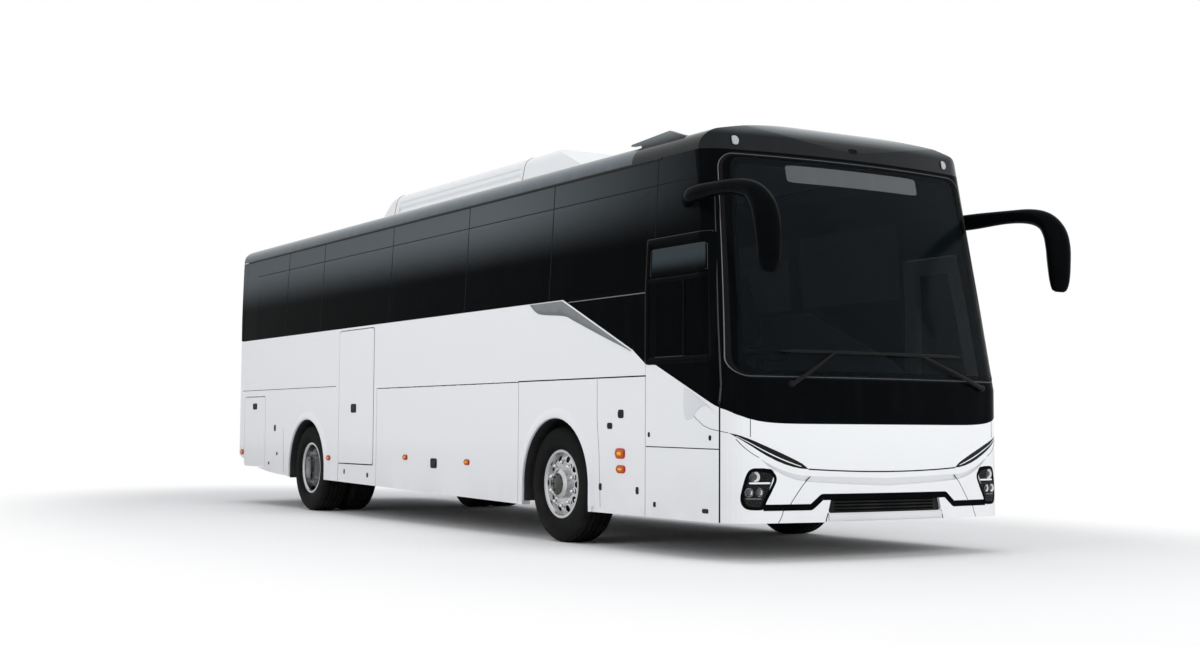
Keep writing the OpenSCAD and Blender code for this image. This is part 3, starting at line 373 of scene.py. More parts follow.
@dataclass(frozen=True)
class Paint:
    """Gloss coach paint with a faint orange peel, slow waves in the sheet and road dust low down."""

    name: str
    slot: str
    colour: Colour
    dust: float = 0.10
    roughness: float = 0.32

    def make(self) -> Material:
        """Builds the material.

        Returns:
            The material.
        """
        kit = ShaderKit(bpy.data.materials.new(self.name))
        height = kit.axis("Z")
        cloud = kit.noise(2.6, 5.0)
        grime = height.smooth(0.75, 0.22) * (cloud.smooth(0.35, 0.75) * 0.7 + 0.3)
        colour = kit.mix(grime * self.dust * 2.0, self.colour, (0.36, 0.34, 0.31))
        peel = kit.noise(240.0, 2.0) * 0.25 + kit.noise(1.3, 1.0)
        rough = grime * 0.25 + (kit.noise(7.0, 3.0) - 0.5) * 0.05 + self.roughness
        return kit.finish(
            Base_Color=colour,
            Roughness=rough,
            Coat_Weight=0.35,
            Coat_Roughness=0.05,
            Normal=kit.bump(peel, 0.0012),
        )


@dataclass(frozen=True)
class PaintedReflection:
    """Painted sky reflection: a paler colour painted over the upper part of a gloss surface; it grows with
    height and may fade towards the nose.
    """

    colour: Colour
    span: Pair = (2.18, 2.62)
    fade: Pair = (9.0, 8.0)

    def over(self, kit: ShaderKit, tone: Socket) -> Socket:
        """A tone under the painted reflection."""
        # painted reflection: a paler colour mixed in with height and away from the nose
        cover = kit.axis("Z").smooth(*self.span) * kit.axis("X").smooth(*self.fade)
        return kit.mix(cover, tone, self.colour)


@dataclass(frozen=True)
class Gloss:
    """Deep gloss plastic or lacquer with a trace of wipe marks; a painted sky reflection may lie on its upper
    part.
    """

    name: str
    slot: str
    colour: Colour
    roughness: float = 0.12
    specular: float = 0.5
    painted_reflection: PaintedReflection | None = None

    def make(self) -> Material:
        """Builds the material.

        Returns:
            The material.
        """
        kit = ShaderKit(bpy.data.materials.new(self.name))
        wipes = kit.noise(9.0, 4.0, (1.0, 1.0, 0.25))
        tone = kit.mix(wipes.smooth(0.4, 0.8) * 0.25, self.colour, shade(self.colour, 1.6, 0.004))
        # painted sky reflection over the upper part
        if self.painted_reflection:
            tone = self.painted_reflection.over(kit, tone)
        rough = (wipes - 0.5) * 0.08 + self.roughness
        return kit.finish(
            Base_Color=tone,
            Roughness=rough,
            Specular_IOR_Level=self.specular,
            Normal=kit.bump(kit.noise(1.1, 1.0), 0.0016),
        )


@dataclass(frozen=True)
class Glass:
    """Tinted glass: dark, clear enough to show shapes behind it, with a faint wave and a painted sky
    reflection above.
    """

    name: str
    slot: str
    tint: Colour
    cover: float
    specular: float = 0.5
    painted_reflection: PaintedReflection | None = None

    def make(self) -> Material:
        """Builds the material.

        Returns:
            The material.
        """
        kit = ShaderKit(bpy.data.materials.new(self.name))
        film = kit.noise(3.0, 4.0, (1.0, 1.0, 0.4))
        tone = kit.mix(film.smooth(0.4, 0.75) * 0.3, self.tint, shade(self.tint, 1.5, 0.003))
        # painted sky reflection over the upper part
        if self.painted_reflection:
            tone = self.painted_reflection.over(kit, tone)
        return kit.finish(
            Base_Color=tone,
            Roughness=(film - 0.5) * 0.03 + 0.045,
            Alpha=self.cover,
            Specular_IOR_Level=self.specular,
            Normal=kit.bump(kit.noise(0.9, 1.0), 0.002),
        )


@dataclass(frozen=True)
class Metal:
    """Bare or plated metal with fine turning marks and dulled patches."""

    name: str
    slot: str
    colour: Colour
    roughness: float
    metallic: float = 1.0
    grain: float = 0.0002

    def make(self) -> Material:
        """Builds the material.

        Returns:
            The material.
        """
        kit = ShaderKit(bpy.data.materials.new(self.name))
        stain = kit.noise(14.0, 5.0)
        marks = kit.noise(420.0, 2.0)
        tone = kit.mix(stain.smooth(0.45, 0.8) * 0.35, self.colour, shade(self.colour, 0.6))
        return kit.finish(
            Base_Color=tone,
            Metallic=self.metallic,
            Roughness=(stain - 0.5) * 0.2 + self.roughness,
            Normal=kit.bump(marks, self.grain),
        )


@dataclass(frozen=True)
class Moulded:
    """Grained plastic, rubber or painted casting, dusty where it is low."""

    name: str
    slot: str
    colour: Colour
    roughness: float = 0.55
    grain: float = 900.0
    depth: float = 0.0003
    dust: float = 0.2
    specular: float = 0.5

    def make(self) -> Material:
        """Builds the material.

        Returns:
            The material.
        """
        kit = ShaderKit(bpy.data.materials.new(self.name))
        grain = kit.noise(self.grain, 2.0)
        cloud = kit.noise(6.0, 5.0)
        film = kit.axis("Z").smooth(1.0, 0.0) * cloud.smooth(0.3, 0.8) * self.dust
        return kit.finish(
            Base_Color=kit.mix(film, self.colour, (0.23, 0.21, 0.19)),
            Roughness=cloud * 0.15 + (self.roughness - 0.07),
            Specular_IOR_Level=self.specular,
            Normal=kit.bump(grain, self.depth),
        )


@dataclass(frozen=True)
class Lens:
    """Moulded lamp lens with fine upright flutes over a bright ground."""

    name: str
    slot: str
    colour: Colour
    flutes: float = 160.0
    glow: float = 0.0

    def make(self) -> Material:
        """Builds the material.

        Returns:
            The material.
        """
        kit = ShaderKit(bpy.data.materials.new(self.name))
        ribs = ((kit.axis("X") + kit.axis("Y")) * (self.flutes * 2 * math.pi)).sine() * 0.5 + 0.5
        tone = kit.mix(ribs * 0.6, self.colour, shade(self.colour, 0.55))
        return kit.finish(
            Base_Color=tone,
            Roughness=ribs * 0.08 + 0.1,
            Specular_IOR_Level=0.15,
            Emission_Color=tone,
            Emission_Strength=self.glow,
            Normal=kit.bump(ribs, 0.0008),
        )


@dataclass(frozen=True)
class Cloth:
    """Woven seat cover: crossing threads with a mottled pile."""

    name: str
    slot: str
    colour: Colour
    thread: float = 700.0

    def make(self) -> Material:
        """Builds the material.

        Returns:
            The material.
        """
        kit = ShaderKit(bpy.data.materials.new(self.name))
        turn = self.thread * 2 * math.pi
        weave = ((kit.axis("X") + kit.axis("Z")) * turn).sine() * (kit.axis("Y") * turn).sine()
        mottle = kit.noise(30.0, 4.0)
        tone = kit.mix(mottle.smooth(0.35, 0.7) * 0.5, self.colour, shade(self.colour, 1.7, 0.01))
        return kit.finish(
            Base_Color=tone,
            Roughness=mottle * 0.1 + 0.82,
            Sheen_Weight=0.25,
            Normal=kit.bump(weave, 0.0004),
        )


Finish = Paint | Gloss | Glass | Metal | Moulded | Lens | Cloth

INK = (0.002, 0.0026, 0.003)
# painted sky reflection: paler colours over the upper parts of the band, glass, rails, cap, driver's pane and
# screen
REFLECTION_FADE = (5.2, 0.8)
BAND_REFLECTION = PaintedReflection((0.101, 0.116, 0.124), fade=REFLECTION_FADE)
GLASS_REFLECTION = PaintedReflection((0.108, 0.124, 0.132), fade=REFLECTION_FADE)
RAIL_REFLECTION = PaintedReflection((0.26, 0.29, 0.31), (2.80, 2.97))
CAP_REFLECTION = PaintedReflection((0.24, 0.27, 0.285), (2.90, 3.03))
CAB_REFLECTION = PaintedReflection((0.044, 0.055, 0.062), (1.955, 2.075))
SCREEN_REFLECTION = PaintedReflection((0.008, 0.011, 0.013))
WHITE = Paint("coach_white", "body_white", (0.80, 0.81, 0.825))
# greyer copy of the coach white: painted shade on the bumper's step, its lip and the cab's corner fold
SHADED_WHITE = Paint("painted_shade_white", "body_white", (0.68, 0.69, 0.71))
UNIT = Paint("roof_unit_white", "unit_grey", (0.76, 0.775, 0.785), 0.0, 0.4)
PLATE = Paint("bare_plate", "body_white", (0.78, 0.78, 0.76), 0.0, 0.4)
BLACK = Gloss("gloss_black", "black_gloss", INK, 0.1, 0.01)
BAND = Gloss("band_black", "black_gloss", INK, 0.1, 0.004, BAND_REFLECTION)
RAIL = Gloss("rail_black", "black_gloss", (0.11, 0.125, 0.135), 0.15, 0.03, RAIL_REFLECTION)
CAP = Gloss("cap_black", "black_gloss", (0.006, 0.008, 0.009), 0.12, 0.16, CAP_REFLECTION)
CAB_PANE = Gloss("cab_pane", "tinted_glass", (0.003, 0.0034, 0.004), 0.1, 0.004, CAB_REFLECTION)
PROJECTOR = Gloss("projector_lens", "lamp_clear", (0.05, 0.055, 0.06), 0.05, 0.8)
DISPLAY = Gloss("display_grey", "black_plastic", (0.058, 0.063, 0.067), 0.3)
GLASS = Glass("tinted_glass", "tinted_glass", INK, 0.90, 0.004, GLASS_REFLECTION)
SCREEN = Glass("windscreen_glass", "tinted_glass", (0.005, 0.0075, 0.009), 0.55, 0.04, SCREEN_REFLECTION)
COVER = Glass("lamp_cover", "lamp_clear", (0.01, 0.011, 0.012), 0.06, 0.15)
SHADOW = Moulded("seam_shadow", "black_plastic", (0.006, 0.006, 0.0066), 0.8, 900.0, 0.0001, 0.0, 0.1)
SATIN = Moulded("satin_black", "black_plastic", (0.007, 0.0074, 0.008), 0.42, 700.0, 0.0002, 0.1, 0.1)
PLASTIC = Moulded("black_plastic", "black_plastic", (0.02, 0.02, 0.021), 0.55)
TRIM = Metal("dark_trim", "rim", (0.16, 0.165, 0.17), 0.3)
RUBBER = Moulded("tyre_rubber", "tyre", (0.005, 0.0054, 0.0054), 0.75, 500.0, 0.0006, 0.05, 0.08)
STEEL = Moulded("frame_paint", "frame_steel", (0.035, 0.035, 0.037), 0.6, 300.0, 0.0006, 0.5)
CAST = Moulded("cast_iron", "cast", (0.06, 0.058, 0.055), 0.65, 250.0, 0.001, 0.5)
SHEET = Moulded("floor_sheet", "floor_sheet", (0.07, 0.07, 0.073), 0.6, 400.0, 0.0004, 0.3)
HUB = Metal("hub_dark", "rim", (0.075, 0.073, 0.07), 0.34)
RIM = Metal("polished_rim", "rim", (0.56, 0.565, 0.57), 0.16)
CHROME = Metal("chrome", "rim", (0.82, 0.83, 0.84), 0.07, 1.0, 0.00005)
MIRROR = Metal("mirror_glass", "rim", (0.86, 0.87, 0.88), 0.03, 1.0, 0.00001)
SILVER = Metal("silver_trim", "rim", (0.20, 0.215, 0.225), 0.32)
AMBER = Lens("amber_lens", "lamp_amber", (0.62, 0.10, 0.002))
CORE = Lens("amber_core", "lamp_amber", (1.0, 0.48, 0.03), 160.0, 0.1)
RED = Lens("red_lens", "lamp_red", (0.55, 0.02, 0.015))
CLEAR = Lens("clear_lens", "lamp_clear", (0.52, 0.54, 0.56), 220.0)
WHITE_LINE = Lens("light_line", "lamp_clear", (0.9, 0.92, 0.95), 300.0, 0.25)
SEAT_CLOTH = Cloth("seat_cloth", "seat_fabric", (0.035, 0.038, 0.05))


@cache
def material(finish: Finish) -> Material:
    """The material of a finish, built once."""
    return finish.make()


# Mesh tools


def put(
    name: str, shape: Shape, finish: Finish, *replaced: str, body: Body = Body.COACH
) -> Object:
    """Makes a piece from a shape.

    Args:
        name: the piece's name.
        shape: its points and faces.
        finish: its finish.
        replaced: CAD nodes that it stands for.
        body: the body it rides on.

    Returns:
        The object, riding on its body.
    """
    points, faces = shape
    mesh = bpy.data.meshes.new(name)
    mesh.from_pydata(points.reshape(-1, 3).tolist(), [], faces.tolist())
    tidy = bmesh.new()
    tidy.from_mesh(mesh)
    bmesh.ops.remove_doubles(tidy, verts=tidy.verts, dist=1e-6)
    bmesh.ops.recalc_face_normals(tidy, faces=tidy.faces)
    tidy.to_mesh(mesh)
    tidy.free()
    mesh.polygons.foreach_set("use_smooth", np.ones(len(mesh.polygons), bool))
    mesh.set_sharp_from_angle(angle=SHARP)
    mesh.materials.append(material(finish))
    piece = bpy.data.objects.new(name, mesh)
    bpy.context.scene.collection.objects.link(piece)
    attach(piece, body.value)
    if replaced:
        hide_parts(*replaced)
    LOG.info("%s: %d faces", name, len(mesh.polygons))
    return piece


def quads(rows: int, columns: int, wrap_rows: bool = False, wrap_columns: bool = False) -> Array:
    """Faces of a grid of points numbered row by row, closed on itself where asked.

    Args:
        rows: rows of points.
        columns: points in a row.
        wrap_rows: whether the last row joins the first.
        wrap_columns: whether rows are closed.

    Returns:
        Four point numbers for each face.
    """
    down = np.arange(rows if wrap_rows else rows - 1)
    along = np.arange(columns if wrap_columns else columns - 1)
    i, j = np.meshgrid(down, along, indexing="ij")
    i1, j1 = (i + 1) % rows, (j + 1) % columns
    corners = [i * columns + j, i1 * columns + j, i1 * columns + j1, i * columns + j1]
    return np.stack(corners, -1).reshape(-1, 4)


def join(parts: list[Shape]) -> Shape:
    """Several shapes as one.

    Args:
        parts: the shapes.

    Returns:
        All their points and faces.
    """
    shift = np.cumsum([0] + [len(points) for points, _ in parts[:-1]])
    faces = np.concatenate([faces + start for (_, faces), start in zip(parts, shift)])
    return np.concatenate([points for points, _ in parts]), faces


def both(maker: Callable[[Side], Shape]) -> Shape:
    """What a maker gives for the right and the left side, as one shape."""
    return join([maker(side) for side in Side])


def repeat(shape: Shape, shifts: Array, turns: Array = np.eye(3)[None]) -> Shape:
    """Copies of a shape, each turned by a 3 x 3 matrix and then moved; one turn may serve all.

    Args:
        shape: points and faces.
        shifts: a move for each copy.
        turns: a rotation for each copy, or one for all.

    Returns:
        The copies as one shape.
    """
    points, faces = shape
    placed = np.einsum("kij,nj->kni", turns, points) + shifts[:, None]
    numbers = faces[None] + (np.arange(len(shifts)) * len(points))[:, None, None]
    return placed.reshape(-1, 3), numbers.reshape(-1, 4)


def spline(points: list | Array, count: int) -> Array:
    """Smooth curve through points, evenly stepped: Catmull-Rom cubics on every column.

    Args:
        points: places that it passes.
        count: how many points it gets.

    Returns:
        The curve's points.
    """
    knots = np.asarray(points, float)
    knots = np.vstack([2 * knots[0] - knots[1], knots, 2 * knots[-1] - knots[-2]])
    t = np.linspace(0, len(knots) - 3 - 1e-9, count)
    i = t.astype(int)
    f = (t - i)[:, None]
    a, b, c, d = knots[i], knots[i + 1], knots[i + 2], knots[i + 3]
    return 0.5 * (2 * b + (c - a) * f + (2 * a - 5 * b + 4 * c - d) * f**2 + (3 * b - a - 3 * c + d) * f**3)


def turned(profile: list | Array, steps: int) -> Shape:
    """Surface of revolution about Z: each (radius, height) pair of the profile is carried round the axis.

    Args:
        profile: (radius, height) pairs.
        steps: steps round it.

    Returns:
        Points and faces.
    """
    profile = np.asarray(profile, float)
    angle = np.linspace(0, 2 * math.pi, steps, endpoint=False)[:, None]
    radius, height = profile[:, 0][None], profile[:, 1][None]
    points = np.stack([radius * np.cos(angle), radius * np.sin(angle), height + 0 * angle], -1)
    return points.reshape(-1, 3), quads(steps, len(profile), True)


def aimed(axis: Array | Triple) -> Array:
    """Rotation that takes Z to an axis, as the only one of a list."""
    return np.array(Vector((0, 0, 1)).rotation_difference(Vector(axis)).to_matrix())[None]


def circle(count: int, radius: float, start: float = 0.0) -> Array:
    """Evenly spaced places on a circle round Z, the first so many steps from X."""
    angle = 2 * math.pi * (np.arange(count) + start) / count
    return np.stack([np.cos(angle), np.sin(angle), 0 * angle], -1) * radius


def tube(
    path: Array, wide: Array | float, high: Array | float, level: Triple, steps: int = 20
) -> Shape:
    """Closed tube along a path.

    At each place an ellipse of the half axes wide and high stands square to the path, with its wide axis
    as near to the level direction as it can be; the ends are drawn together to a point.

    Args:
        path: points along it.
        wide: half axis nearest to the level direction.
        high: half axis square to it.
        level: the level direction.
        steps: steps round it.

    Returns:
        Points and faces.
    """
    ahead = np.gradient(path, axis=0)
    ahead /= np.linalg.norm(ahead, axis=1, keepdims=True)
    across = np.asarray(level, float) - ahead * (ahead @ np.asarray(level, float))[:, None]
    across /= np.linalg.norm(across, axis=1, keepdims=True)
    upward = np.cross(ahead, across)
    angle = np.linspace(0, 2 * math.pi, steps, endpoint=False)[None, :, None]
    wide, high = (np.broadcast_to(size, len(path))[:, None, None] for size in (wide, high))
    rings = path[:, None] + across[:, None] * np.cos(angle) * wide + upward[:, None] * np.sin(angle) * high
    ends = [np.repeat(path[k][None], steps, 0)[None] for k in (0, -1)]
    rings = np.concatenate([ends[0], rings, ends[1]])
    return rings.reshape(-1, 3), quads(len(rings), steps, False, True)


def shell_of(outer: Array, inner: Array) -> Shape:
    """Closed shell of two grids of the same size, joined along their rims.

    Args:
        outer: grid of the outer face.
        inner: grid of the inner face.

    Returns:
        Points and faces.
    """
    rows, columns = outer.shape[:2]
    count = rows * columns
    number = np.arange(count).reshape(rows, columns)
    rim = np.concatenate([number[0, :-1], number[:-1, -1], number[-1, :0:-1], number[:0:-1, 0]])
    following = np.roll(rim, -1)
    walls = np.stack([rim, following, following + count, rim + count], -1)
    sheet = quads(rows, columns)
    points = np.concatenate([outer.reshape(-1, 3), inner.reshape(-1, 3)])
    return points, np.concatenate([sheet, sheet[:, ::-1] + count, walls])


def side_skin(side: Side) -> Skin:
    """Maps (x, z, lift) to a side wall: y is the flank's half width there plus the lift."""
    return lambda x, z, lift: np.stack([x, side.value * (PLACE.flank(x, z) + lift), z], -1)


def nose_skin(y: Array, z: Array, lift: Array) -> Array:
    """Maps (y, z, lift) to the nose: x is the nose's place at (y, z) plus the lift."""
    return np.stack([PLACE.front(y, z) + lift, y, z], -1)


def rear_skin(y: Array, z: Array, lift: Array) -> Array:
    """Maps (y, z, lift) to the rear wall: a shallow bow that leans forward above the belt, minus the lift."""
    return np.stack([PLACE.back(y, z) - lift, y, z], -1)


def ribbon(
    skin: Skin, low: Array, high: Array, lift: float, crown: float = 0.0, depth: float = 0.003
) -> Shape:
    """Closed strip on a skin between two edge curves.

    A point is the blend (1 - v) low + v high; the outer face stands off by lift + crown (1 - (2 v - 1)^4),
    the inner face lies depth under the skin.

    Args:
        skin: the surface that it lies on.
        low: its lower edge.
        high: its upper edge.
        lift: how far it stands out.
        crown: how much further its middle stands out.
        depth: how far its back lies under the skin.

    Returns:
        Points and faces.
    """
    v = np.linspace(0, 1, 9)[None, :, None]
    flat = low[:, None] * (1 - v) + high[:, None] * v
    rise = lift + crown * (1 - (2 * v[..., 0] - 1) ** 4) + 0 * flat[..., 0]
    return shell_of(*(skin(flat[..., 0], flat[..., 1], stand) for stand in (rise, 0 * rise - depth)))


def pill(a: float, b: float, length: float, height: float, power: float = 5.0) -> tuple[Array, Array]:
    """Edges of a round-cornered rectangle: half its height times (1 - |t|^p)^(1/p) along its length.

    Args:
        a: its middle, along.
        b: its middle, up.
        length: its length.
        height: its height.
        power: how square its corners are.

    Returns:
        The lower and the upper edge.
    """
    t = np.sin(np.linspace(-math.pi / 2, math.pi / 2, 25)) * 0.9998
    half = height / 2 * (1 - np.abs(t) ** power) ** (1 / power)
    along = a + t * length / 2
    return np.stack([along, b - half], -1), np.stack([along, b + half], -1)


def rounded(corners: tuple | Array, radius: float, steps: int = 8) -> Array:
    """Closed outline of a convex shape whose corners give way to arcs that touch both of their edges.

    Args:
        corners: corners in order.
        radius: its radius.
        steps: points of each arc.

    Returns:
        The outline's points.
    """
    corner = np.asarray(corners, float)
    back, on = np.roll(corner, 1, 0) - corner, np.roll(corner, -1, 0) - corner
    back /= np.linalg.norm(back, axis=1, keepdims=True)
    on /= np.linalg.norm(on, axis=1, keepdims=True)
    half = np.arccos((back * on).sum(1)) / 2
    inward = (back + on) / np.linalg.norm(back + on, axis=1, keepdims=True)
    middle = corner + inward * (radius / np.sin(half))[:, None]
    start = corner + back * (radius / np.tan(half))[:, None] - middle
    stop = corner + on * (radius / np.tan(half))[:, None] - middle
    first = np.arctan2(start[:, 1], start[:, 0])
    turn = (np.arctan2(stop[:, 1], stop[:, 0]) - first + math.pi) % (2 * math.pi) - math.pi
    angle = first[:, None] + turn[:, None] * np.linspace(0, 1, steps)
    return (middle[:, None] + radius * np.stack([np.cos(angle), np.sin(angle)], -1)).reshape(-1, 2)


def sunk(skin: Skin, depth: float) -> Skin:
    """A skin lowered by a depth."""
    return lambda a, b, lift: skin(a, b, lift - depth)


def loop_of(edges: tuple[Array, Array]) -> Array:
    """Closed outline of a lower and an upper edge."""
    return np.concatenate([edges[0], edges[1][::-1]])


def run(points: list | Array, count: int) -> Array:
    """Evenly stepped points along straight runs between corners.

    Args:
        points: the corners.
        count: how many points it gets.

    Returns:
        The points.
    """
    knots = np.asarray(points, float)
    reach = np.concatenate([[0.0], np.cumsum(np.linalg.norm(np.diff(knots, axis=0), axis=1))])
    t = np.linspace(0, reach[-1], count)
    return np.stack([np.interp(t, reach, column) for column in knots.T], -1)


def strip(skin: Skin, path: Array, profile: list | Array, loop: bool = False) -> Shape:
    """Closed strip that carries a profile along a path on a skin.

    A profile point (offset, lift) lies the offset to the left of the path on the skin and the lift out of
    it. Open ends are drawn together to their middle.

    Args:
        skin: the surface that it lies on.
        path: points along it.
        profile: (offset, lift) pairs.
        loop: whether the path closes on itself.

    Returns:
        Points and faces.
    """
    profile = np.asarray(profile, float)
    step = (np.roll(path, -1, 0) - np.roll(path, 1, 0)) if loop else np.gradient(path, axis=0)
    normal = np.stack([-step[:, 1], step[:, 0]], -1)
    normal /= np.maximum(np.linalg.norm(normal, axis=1, keepdims=True), 1e-9)
    flat = path[:, None] + normal[:, None] * profile[None, :, :1]
    rings = skin(flat[..., 0], flat[..., 1], profile[None, :, 1] + 0 * flat[..., 0])
    if not loop:
        caps = np.repeat(rings[[0, -1]].mean(1, keepdims=True), rings.shape[1], 1)
        rings = np.concatenate([caps[:1], rings, caps[1:]])
    return rings.reshape(-1, 3), quads(len(rings), rings.shape[1], loop, True)


def rail(skin: Skin, path: Array, width: float, lift: float, loop: bool = False) -> Shape:
    """Raised strip of a half-ellipse profile along a path on a skin.

    Args:
        skin: the surface that it lies on.
        path: points along it.
        width: its width.
        lift: how far it stands out.
        loop: whether the path closes on itself.

    Returns:
        Points and faces.
    """
    t = np.linspace(-1, 1, 7)
    top = np.stack([t * width / 2, lift * np.sqrt(1 - 0.96 * t**2)], -1)
    foot = [[width / 2, -0.003], [-width / 2, -0.003]]
    return strip(skin, path, np.concatenate([top, foot]), loop)


# Wheels


@dataclass
class Wheel:
    """A wheel: its tyre or twin tyres with road tread, its nuts and its hub."""

    name: str
    tyre_node: str
    body: Body
    side: Side
    x: float
    twin: bool
    disc: float
    nut_circle: float = 0.1675
    nuts: int = 10
    steps: int = 264
    groove: float = 0.012
    lugs: int = 66
    tread_half: float = 0.1
    sway: float = 0.009
    notch: float = 0.007
    notch_at: float = 0.112
    notch_from: float = 0.42
    hub_bolts: int = 8
    section: tuple = (
        (0.248, 0.104), (0.263, 0.110), (0.275, 0.119), (0.303, 0.1375), (0.348, 0.1425), (0.398, 0.1385),
        (0.428, 0.126), (0.4425, 0.108), (0.4472, 0.088),
    )

    def build(self) -> None:
        """Makes the tyres, the wheel nuts and the hub's cap."""
        shifts = (0.0, -PLACE.twin) if self.twin else (0.0,)
        tyres = join([self._tyre(shift) for shift in shifts])
        put(f"tyre_tread_{self.name}", tyres, RUBBER, self.tyre_node, body=self.body)
        put(f"wheel_nuts_{self.name}", self._nuts(), CHROME, body=self.body)
        put(f"hub_{self.name}", self._hub(), CAST if self.twin else HUB, body=self.body)

    def _place(self, shape: Shape) -> Shape:
        """Takes a shape from the axle's frame, Z outwards, to the wheel's place.

        Args:
            shape: points and faces.

        Returns:
            The shape in place.
        """
        points, faces = shape
        out = self.side.value * (PLACE.half_track + points[:, 2])
        return np.stack([self.x + points[:, 0], out, PLACE.wheel + points[:, 1]], -1), faces

    def _tyre(self, shift: float) -> Shape:
        """Tyre surface.

        The section is turned about the axle. Four grooves are cut in the tread, which sways from side to
        side as a triangle wave of the angle, and square notches of the angle are cut in both shoulders.

        Args:
            shift: how far out it stands from the wheel's middle.

        Returns:
            Points and faces.
        """
        wall = spline(self.section, 30)
        middle = np.array([0.072, 0.025, -0.025, -0.072])[:, None]
        across = (middle + np.array([0.0075, 0.0055, -0.0055, -0.0075])).ravel()
        deep = np.tile([0.0, self.groove, self.groove, 0.0], 4)
        tread = np.stack([PLACE.wheel - deep, across], -1)
        profile = np.concatenate([wall, tread, wall[::-1] * [1, -1]])
        radius, out = profile[:, 0][None], profile[:, 1][None]
        angle = np.linspace(0, 2 * math.pi, self.steps, endpoint=False)[:, None]
        lug = angle * self.lugs / (2 * math.pi)
        sway = self.sway * (np.abs(lug % 2 - 1) - 0.5)
        on_tread = np.clip((self.tread_half - np.abs(out)) / 0.012, 0, 1)
        notch = (lug % 1 < 0.4) * np.exp(-(((np.abs(out) - self.notch_at) / 0.011) ** 2))
        radius = radius - self.notch * notch * (radius > self.notch_from)
        points = np.stack([radius * np.cos(angle), radius * np.sin(angle), out + sway * on_tread + shift], -1)
        return self._place((points.reshape(-1, 3), quads(self.steps, len(profile), True, True)))

    def _nuts(self) -> Shape:
        """Ring of hexagon nuts with domed caps on the disc, on the circle of the wheel studs.

        Returns:
            Points and faces.
        """
        dome = [(0.0, 0.034), (0.007, 0.033), (0.012, 0.028), (0.017, 0.022), (0.019, 0.0), (0.0, 0.0)]
        nut = turned(dome, 6)
        washer = turned([(0.0, 0.004), (0.024, 0.004), (0.025, 0.0), (0.0, 0.0)], 18)
        places = circle(self.nuts, self.nut_circle, 0.5) + [0, 0, self.disc]
        return self._place(repeat(join([nut, washer]), places))

    def _hub(self) -> Shape:
        """Hub face: a stepped cap with a ring of small bolts.

        Returns:
            Points and faces.
        """
        face, reach, foot = (0.040, 0.108, -0.012) if self.twin else (0.150, 0.086, -0.060)
        crown = [(0.0, 0.012), (0.03, 0.011), (0.042, 0.006), (0.046, 0.003)]
        wall = [(reach - 0.006, 0.003), (reach, 0.0), (reach + 0.002, -0.005), (reach + 0.002, foot)]
        bolt = turned([(0.0, 0.009), (0.006, 0.009), (0.008, 0.006), (0.008, -0.002)], 6)
        bolts = repeat(bolt, circle(self.hub_bolts, reach - 0.014))
        points, faces = join([turned(crown + wall, 40), bolts])
        return self._place((points + [0, 0, face], faces))


# Mirrors


@dataclass
class Mirror:
    """A horn mirror: an arm that springs from the screen pillar, bends down and swells into the head."""

    side: Side
    # x, y, z, half width, half height
    route: tuple = (
        (4.060, 1.190, 2.440, 0.026, 0.034), (4.140, 1.232, 2.452, 0.044, 0.056),
        (4.300, 1.300, 2.462, 0.050, 0.060), (4.620, 1.322, 2.462, 0.050, 0.050),
        (4.850, 1.322, 2.442, 0.056, 0.056), (5.000, 1.316, 2.390, 0.070, 0.068),
        (5.088, 1.310, 2.300, 0.086, 0.080), (5.126, 1.304, 2.190, 0.092, 0.082),
        (5.138, 1.300, 2.060, 0.088, 0.074), (5.140, 1.300, 1.950, 0.078, 0.064),
        (5.138, 1.300, 1.885, 0.058, 0.048), (5.136, 1.300, 1.866, 0.030, 0.026),
    )
    glass_y: float = 1.300
    glass_x: float = 5.064
    glass_bow: float = 5.1
    glass_lean: float = 0.10
    glass_low: float = 1.930
    glass_high: float = 2.300
    glass_half: float = 0.056

    def shape(self) -> Shape:
        """Arm and head: ellipses of the table's half axes along a smooth curve through its places.

        Returns:
            Points and faces.
        """
        curve = spline(self.route, 72)
        path = curve[:, :3] * [1, self.side.value, 1]
        return tube(path, curve[:, 3], curve[:, 4], (0, 1, 0), 28)

    def glass(self) -> Shape:
        """Mirror glass on the head's rear face: a domed superellipse plate.

        Returns:
            Points and faces.
        """
        middle, height = (self.glass_low + self.glass_high) / 2, self.glass_high - self.glass_low
        edges = pill(self.side.value * self.glass_y, middle, 2 * self.glass_half, height, 4.0)
        return ribbon(self._rear_face, *edges, 0.004, 0.003, 0.02)

    def _rear_face(self, y: Array, z: Array, lift: Array) -> Array:
        """Rear face of the head at (y, z): a bow with the square of y that leans with z, back by the lift."""
        bow = self.glass_bow * (np.abs(y) - self.glass_y) ** 2
        return np.stack([self.glass_x + bow - lift - self.glass_lean * (z - 2.1), y, z], -1)


def add_mirrors() -> None:
    """Both mirrors with their glass; the horns stand for the CAD node."""
    pair = [Mirror(side) for side in Side]
    put("mirror_horns", join([mirror.shape() for mirror in pair]), BLACK, "mirrors")
    put("mirror_glass", join([mirror.glass() for mirror in pair]), MIRROR)


# Front


